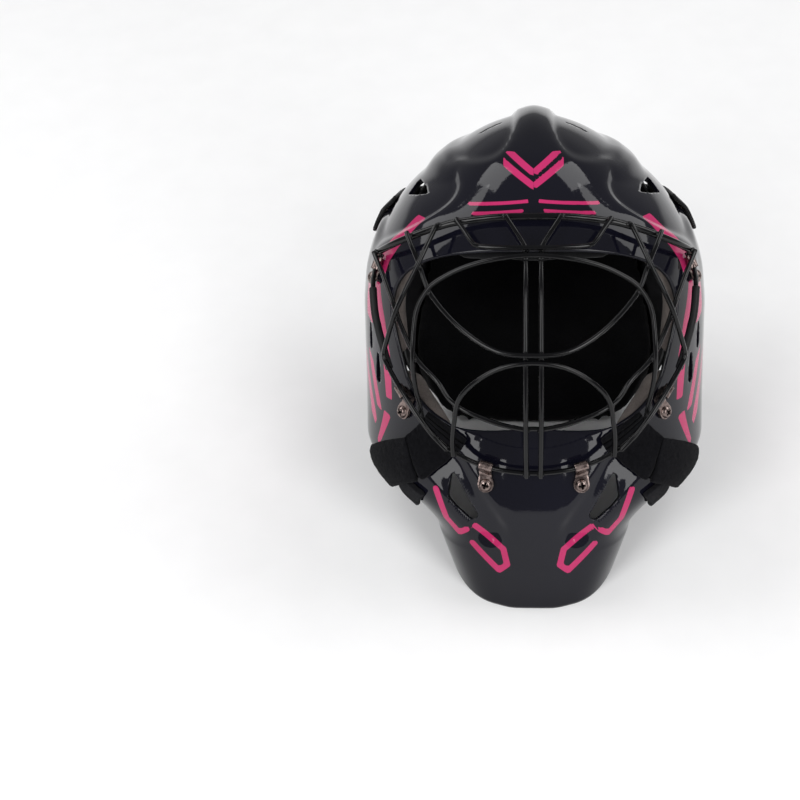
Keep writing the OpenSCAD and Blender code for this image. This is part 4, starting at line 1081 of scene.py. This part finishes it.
# with its gap the foam stays clear of the plate when it is blown up
foam = rear_cap("back_foam", 0.85, PLATE_T + FOAM_GAP, FOAM_T, 60, 24, crown=0.42, rounding=1.5, roll=1.2)
piece = inflated(foam)
# the pad's near-black fabric is partly painted shade of the mask's inside
dress(piece, black_foam_and_shade, "back_plate", "foam", "back_plate_pad")

# BACK STRAPS
# Four 30 mm bands of woven elastic, 2.4 mm thick: riveted to the shell's sides, running back on to
# the plate, where they are sewn down. The lower two carry a plastic slider.
ELASTIC_W, ELASTIC_T = 30, 2.4


def measured(path):
    """Distance along a path up to each of its points."""
    return np.concatenate([[0], np.cumsum(np.linalg.norm(np.diff(path, axis=0), axis=-1))])


def strap_grid(route, per_span, cols):
    """Rows across a strap laid on the skin: the points' places, and each row's outward way, lift,
    width and distance along the strap."""
    path = smooth_route(route, per_span)
    d = unit(path[:, :3])
    out = skin_normal(d, 0.03)
    run = np.gradient(path[:, :3], axis=0)
    over = unit(np.cross(run, out))
    v = np.linspace(-0.5, 0.5, cols)
    q = unit(skin(d)[:, None] + over[:, None] * path[:, None, 4:5] * v[:, None])
    return skin(q), out, path[:, 3], path[:, 4], measured(skin(d))


def band(name, route, thick, s, per_span=8, cols=17, part=None, trim=None):
    """A strap as a closed skin: its cross-section is a flat bar with rounded edges. part keeps some
    of its rows, and trim starts it that much later, in mm."""
    p, out, lift, width, run = strap_grid(route, per_span, cols)
    if part:
        p, out, lift, width, run = (q[part[0]:part[1]] for q in (p, out, lift, width, run))
    if trim:
        step = unit(p[1] - p[0]) * trim
        p = np.concatenate([(p[0] + step)[None], p[1:]])
    v = np.linspace(-0.5, 0.5, cols)
    top = p + out[:, None] * (lift + thick)[:, None, None]
    low = p + out[:, None] * lift[:, None, None]
    over = unit(p[:, -1] - p[:, 0])
    right = np.stack([low[:, -1] + out * thick * 0.78, low[:, -1] + out * thick * 0.22], 1)
    left = np.stack([low[:, 0] + out * thick * 0.22, low[:, 0] + out * thick * 0.78], 1)
    for face in (top, low):
        face[:, -1] -= over * (thick * 0.3)
        face[:, 0] += over * (thick * 0.3)
    loops = np.concatenate([top, right, low[:, ::-1], left], 1)
    spans = np.concatenate([v, [0.5, 0.5], v[::-1], [-0.5, -0.5]])[None] * width[:, None]
    return turned_out(loft(name, mirrored(loops, s), spans, run))


def guided(y, z, lift):
    """A knot of an elastic strap: its place on the wearer's left side, lift and width."""
    return [*side_point(y, z), lift, ELASTIC_W]


UPPER_STRAP = [guided(22, 53, 1.5), guided(42, 52, 1), guided(62, 50, .9), guided(80, 47, .8),
               guided(92, 44, .7), guided(101, 42, .7)]
LOWER_STRAP = [guided(24, -56, 1), guided(37, -57, .9), guided(50, -56, .9), guided(62, -53, 1.4),
               guided(71, -50, 1.7), guided(78, -47, 2.1)]


# Woven elastic: polyester over rubber cords that run lengthways 1.6 mm apart, with picks 1.1 mm
# apart, drawn coarser than the real 0.5 mm so that they show.
CORD_GAP, PICK_GAP = 0.0016, 0.0011


def woven_elastic():
    m, t, shader, at = new_material("woven polyester elastic")
    run = add(t, "ShaderNodeAttribute", {"attribute_name": "run"}).outputs["Fac"]
    span = add(t, "ShaderNodeAttribute", {"attribute_name": "span"}).outputs["Fac"]
    waves = []
    for along, gap in ((span, CORD_GAP), (run, PICK_GAP)):
        phase = add(t, "ShaderNodeMath", {"operation": "MULTIPLY"}, i0=along, i1=2 * math.pi / gap).outputs[0]
        waves.append(add(t, "ShaderNodeMath", {"operation": "SINE"}, i0=phase).outputs[0])
    cords, picks = waves
    weave = add(t, "ShaderNodeMath", {"operation": "MULTIPLY_ADD"}, i0=picks, i1=0.45, i2=cords).outputs[0]
    fuzz = add(t, "ShaderNodeTexNoise", Vector=at, Scale=1500.0, Detail=3.0).outputs["Fac"]
    tone = add(t, "ShaderNodeMath", {"operation": "MULTIPLY_ADD"}, i0=weave, i1=0.16, i2=fuzz).outputs[0]
    shade = ramp(t, tone, [(0.3, hex_colour("#09090a")), (0.8, hex_colour("#1e1e20"))])
    bump = add(t, "ShaderNodeBump", Strength=0.6, Distance=0.0003, Height=weave).outputs[0]
    feed(t, shader, Base_Color=shade, Normal=bump, Roughness=0.85, Sheen_Weight=0.15, Specular_IOR_Level=0.25)
    return m


elastic = woven_elastic()
for s, side_name in SIDES:
    for route, level in ((UPPER_STRAP, "upper"), (LOWER_STRAP, "lower")):
        piece = band("elastic_%s_%s" % (level, side_name), route, ELASTIC_T, s)
        piece.data.materials.append(elastic)
        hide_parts("back_strap_%s_%s" % (level, side_name))
        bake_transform(piece)
coat("strap_slider_left", satin_plastic)
coat("strap_slider_right", satin_plastic)
coat("strap_rivets", zinc)

# JAW STRAPS
# Black hook-and-loop webbing, 33 mm wide: it comes out over the opening's corner, folds back on
# itself and ends in a sewn tab that is pressed down along the jaw. Its face is a brushed pile.
# of the strap and of the fold: thickness in mm, steps between two knots, and points across
JAW_T, FOLD_T, JAW_STEPS, FOLD_STEPS, JAW_COLS, FOLD_COLS = 2.6, 4, 8, 10, 25, 15
# knots of the left strap and of the fold below it: a point x, y, z in the direction of the knot's
# place on the skin, the lift off the skin, and the width
JAW = [[56, -112, -58, .4, 33], [61, -111, -66, .6, 33], [68, -107, -75, 2.4, 33], [75, -103, -82.4, 5.7, 33],
       [84, -94, -86.5, 5.7, 33], [92.5, -81, -91, 5.2, 32], [99.5, -67, -97, 3.4, 31]]
FOLD = [[77, -100, -97, .4, 24], [79, -95, -105, .4, 20], [79, -89, -115, .4, 13]]


def brushed_pile(name, low, high, seams, cut):
    """Pile of hooked-up nylon loops: dark, dull, with a short ragged nap; seams lists the distances
    from the strap's start, in metres, of the rows of stitches that sink into it, and cut is where it
    is cut off: the last 2 mm show grey thread ends."""
    m, t, shader, at = new_material(name)
    run = add(t, "ShaderNodeAttribute", {"attribute_name": "run"}).outputs["Fac"]
    nap = add(t, "ShaderNodeTexNoise", Vector=at, Scale=1300.0, Detail=5.0, Roughness=0.75).outputs["Fac"]
    clump = add(t, "ShaderNodeTexNoise", Vector=at, Scale=330.0, Detail=3.0).outputs["Fac"]
    height = add(t, "ShaderNodeMath", {"operation": "MULTIPLY_ADD"}, i0=clump, i1=0.8, i2=nap).outputs[0]
    for seam in seams:
        past = add(t, "ShaderNodeMath", {"operation": "SUBTRACT"}, i0=run, i1=seam).outputs[0]
        near = add(t, "ShaderNodeMath", {"operation": "ABSOLUTE"}, i0=past).outputs[0]
        dip = add(t, "ShaderNodeMapRange", Value=near, From_Min=0.0, From_Max=0.0009, To_Min=-0.9,
                  To_Max=0.0).outputs["Result"]
        height = add(t, "ShaderNodeMath", {"operation": "ADD"}, i0=height, i1=dip).outputs[0]
    shade = ramp(t, height, [(0.35, hex_colour(low)), (1.2, hex_colour(high))])
    fray = add(t, "ShaderNodeMapRange", Value=run, From_Min=cut - 0.0026, From_Max=cut - 0.0016,
               To_Min=0.0, To_Max=1.0).outputs["Result"]
    thread = ramp(t, nap, [(0.42, hex_colour("#0c0c0e")), (0.6, hex_colour("#5e5e66"))])
    base = add(t, "ShaderNodeMix", {"data_type": "RGBA"}, i0=fray, i6=shade, i7=thread).outputs[2]
    bump = add(t, "ShaderNodeBump", Strength=0.9, Distance=0.0009, Height=height).outputs[0]
    feed(t, shader, Base_Color=base, Normal=bump, Roughness=1.0, Sheen_Weight=0.03, Specular_IOR_Level=0.05)
    return m


jaw_cut = strap_grid(JAW, JAW_STEPS, JAW_COLS)[4][-1] / 1000
fold_cut = strap_grid(FOLD, FOLD_STEPS, FOLD_COLS)[4][-1] / 1000
loop_pile = brushed_pile("brushed nylon loop pile", "#010102", "#111114", (0.003, 0.006), jaw_cut)
fold_pile = brushed_pile("brushed nylon hook tape", "#070708", "#1e1e21", (0.012,), fold_cut)


def ragged(obj, amount):
    """Makes a woven piece's surface uneven: each point moves along its normal by smooth noise of
    2.2 mm, by the amount in mm."""
    texture = bpy.data.textures.new("nap", "CLOUDS")
    texture.noise_scale = 0.0022
    modify(obj, "SUBSURF", levels=1, render_levels=1)
    modify(obj, "DISPLACE", texture=texture, texture_coords="LOCAL", strength=amount / 1000, mid_level=0.6)
    return applied(obj)


# the strap creases at its fourth knot, where the tab starts, 0.5 mm further on
CREASE = 3 * JAW_STEPS
for s, side_name in SIDES:
    fixed = band("pile_strap_" + side_name, JAW, JAW_T, s, JAW_STEPS, JAW_COLS, part=(0, CREASE + 1))
    dress(ragged(fixed, 0.9), loop_pile, "mask", "loop_strap", "jaw_strap_" + side_name)
    tab = band("pile_tab_" + side_name, JAW, JAW_T, s, JAW_STEPS, JAW_COLS, part=(CREASE, None), trim=0.5)
    dress(ragged(tab, 0.9), loop_pile, "strap_tab_" + side_name, "loop_strap", "jaw_strap_tab_" + side_name)
    fold = band("hook_fold_" + side_name, FOLD, FOLD_T, s, FOLD_STEPS, FOLD_COLS)
    dress(ragged(fold, 0.5), fold_pile, "mask", "foam_tape", "jaw_strap_fold_" + side_name)

# CHIN CUP
# A shallow bowl of black polypropylene under the wearer's chin, with a foam liner, hung by two
# elastic bands from the inside of the shell.
# the middle of the cup's lip, its half width, half depth and height in mm, and its forward tip
CUP_AT = np.array([0.0, -72, -112])
CUP = np.array([36.0, 30, 22])
TIP = math.radians(-20)


def bowl(name, size, thick, low, cols, rows, rounding):
    """The wall of half an ellipsoid, open upward, tipped forward; its lip is a half round."""
    a = np.radians(np.linspace(-88, low, rows))[:, None]
    w = np.linspace(0, 2 * np.pi, cols, endpoint=False)[None]
    g = np.stack([np.cos(a) * np.cos(w), np.cos(a) * np.sin(w), np.sin(a) + 0 * w], -1)
    outside, inside = g * size, g * (size - thick)
    mid, half = (outside[-1] + inside[-1]) / 2, (outside[-1] - inside[-1]) / 2
    t = np.linspace(0, np.pi, 7)[1:-1][:, None, None]
    lip = mid + half * np.cos(t) + np.array([0, 0, 1.0]) * thick / 2 * rounding * np.sin(t)
    rings = np.concatenate([outside, lip, inside[::-1]])
    x, y, z = rings[..., 0], rings[..., 1], rings[..., 2]
    c, s = math.cos(TIP), math.sin(TIP)
    points = (np.stack([x, y * c - z * s, y * s + z * c], -1) + CUP_AT).reshape(-1, 3)
    return turned_out(mesh_object(name, points, capped_faces(len(rings), cols)))


dress(bowl("cup_shell", CUP, 2.4, 4, 96, 30, 0.8), satin_plastic, "chin_cup", "black_plastic", "chin_cup")
piece = inflated(bowl("cup_foam", CUP - 3.3, 4, -2, 60, 18, 1.0), voxel=0.0025, cap=0.0005)
# the liner's near-black fabric is partly painted shade of the mask's inside
dress(piece, black_foam_and_shade, "chin_cup", "foam", "chin_cup_liner")


def chin_band(side_name, s):
    """Flat band from the cup's side to the inside of the shell at the opening's lower corner, with
    the directions along and across it turning evenly from the one end to the other."""
    rim = unit(face_point(49, -64))
    start = np.array([CUP[0] + 1.5, CUP_AT[1] - 2, CUP_AT[2] + 1])
    stop = skin(rim) - skin_normal(rim) * (SHELL_T + 2.4)
    along_rim = unit(face_point(56, -60) - face_point(42, -66.5))
    t = np.linspace(0, 1, 25)[:, None]
    path = start + (stop - start) * t
    over = unit(np.array([0, -0.94, -0.34]) + (along_rim - [0, -0.94, -0.34]) * t)
    out = unit(np.cross(stop - start, over))
    # outline of the cross-section: 18 x 2.4 mm with rounded edges
    v = np.concatenate([np.linspace(-8.6, 8.6, 13), [9, 9], np.linspace(8.6, -8.6, 13), [-9, -9]])
    h = np.concatenate([np.full(13, 1.2), [0.6, -0.6], np.full(13, -1.2), [-0.6, 0.6]])
    loops = path[:, None] + over[:, None] * v[:, None] + out[:, None] * h[:, None]
    band_object = loft("chin_band_" + side_name, mirrored(loops, s), v, measured(path))
    return turned_out(band_object), start, stop


for s, side_name in SIDES:
    piece, start, stop = chin_band(side_name, s)
    piece.data.materials.append(elastic)
    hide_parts("chin_strap_" + side_name)
    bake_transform(piece)

# STUDIO
# A pale floor, tall soft panels in pairs in front, at the sides and high behind, and the camera where
# the photograph was taken from: 1.3 m away, 40 degrees above the floor.
def flat_panel(name, points):
    """One flat face through the points."""
    mesh = bpy.data.meshes.new(name)
    mesh.from_pydata([tuple(p) for p in points], [], [tuple(range(len(points)))])
    mesh.update()
    obj = bpy.data.objects.new(name, mesh)
    bpy.context.scene.collection.objects.link(obj)
    return obj


# Painted board: matt white, a little uneven.
def pale_floor():
    m, t, shader, at = new_material("matt white painted board")
    cloud = add(t, "ShaderNodeTexNoise", Vector=at, Scale=30.0, Detail=4.0).outputs["Fac"]
    feed(t, shader, Base_Color=ramp(t, cloud, [(0.3, grey(0.88)), (0.7, grey(0.9))]), Roughness=0.9)
    return m


floor = flat_panel("floor", [(-6, -6, 0), (6, -6, 0), (6, 6, 0), (-6, 6, 0)])
floor.data.materials.append(pale_floor())

world = bpy.data.worlds.new("studio")
bpy.context.scene.world = world
world.use_nodes = True
feed(world.node_tree, world.node_tree.nodes["Background"], Color=(0.9, 0.9, 0.92, 1), Strength=0.3)


def posed(right, up, back, at):
    """Matrix of a lamp or camera from its right, up and backward directions and its place."""
    columns = np.eye(4)
    columns[:3, 0], columns[:3, 1], columns[:3, 2], columns[:3, 3] = right, up, back, at
    return Matrix(columns.tolist())


def soft_box(name, at, aim, width, height, power):
    """A flat rectangular lamp at a place, turned to its aim, with its long side upright."""
    light = bpy.data.lights.new(name, "AREA")
    light.shape, light.size, light.size_y, light.energy = "RECTANGLE", width, height, power
    obj = bpy.data.objects.new(name, light)
    back = unit(np.array(at, float) - np.array(aim, float))
    right = unit(np.cross([0, 0, 1.0], back))
    obj.matrix_world = posed(right, np.cross(back, right), back, at)
    bpy.context.scene.collection.objects.link(obj)


# pairs of panels: place of the left one, width and height in metres, and power in watts
for kind, x, y, z, width, height, power in (("front", 0.95, -1.3, 1.1, 0.7, 1.5, 16),
                                            ("back", 1.0, 1.2, 2.0, 0.7, 1.0, 7),
                                            ("side", 1.5, 0.4, 1.3, 1.1, 1.2, 12)):
    for s, side_name in SIDES:
        soft_box("%s_%s" % (kind, side_name), (s * x, y, z), (0, 0, 0.13), width, height, power)

# The camera looks down by 40 degrees from 1.3 m before the middle of the head, which lies right of
# the middle of the picture and above it by the two shifts. Focal length and shifts are in pixels.
FOCAL, SHIFT_RIGHT, SHIFT_UP, AWAY = 1846.0, 133.5, 104.0, 1.3
tilt = math.radians(40)
sight = np.array([0, math.cos(tilt), -math.sin(tilt)])
lift = np.array([0, math.sin(tilt), math.cos(tilt)])
per_pixel = 1 / math.sqrt(SHIFT_RIGHT ** 2 + SHIFT_UP ** 2 + FOCAL ** 2)
pitch = math.asin(SHIFT_UP * per_pixel)
up = math.cos(pitch) * lift + math.sin(pitch) * sight
level = math.cos(pitch) * sight - math.sin(pitch) * lift
yaw = math.asin(SHIFT_RIGHT * per_pixel / math.cos(pitch))
right = math.cos(yaw) * np.array([1.0, 0, 0]) + math.sin(yaw) * level
ahead = math.cos(yaw) * level - math.sin(yaw) * np.array([1.0, 0, 0])
camera = bpy.data.objects.new("camera", bpy.data.cameras.new("camera"))
camera.data.lens = FOCAL * camera.data.sensor_width / 800
camera.matrix_world = posed(right, up, -ahead, place([0, 0, 0]) - sight * AWAY)
bpy.context.scene.collection.objects.link(camera)
bpy.context.scene.camera = camera
bpy.context.scene.view_settings.view_transform = "Standard"

bpy.context.view_layer.update()
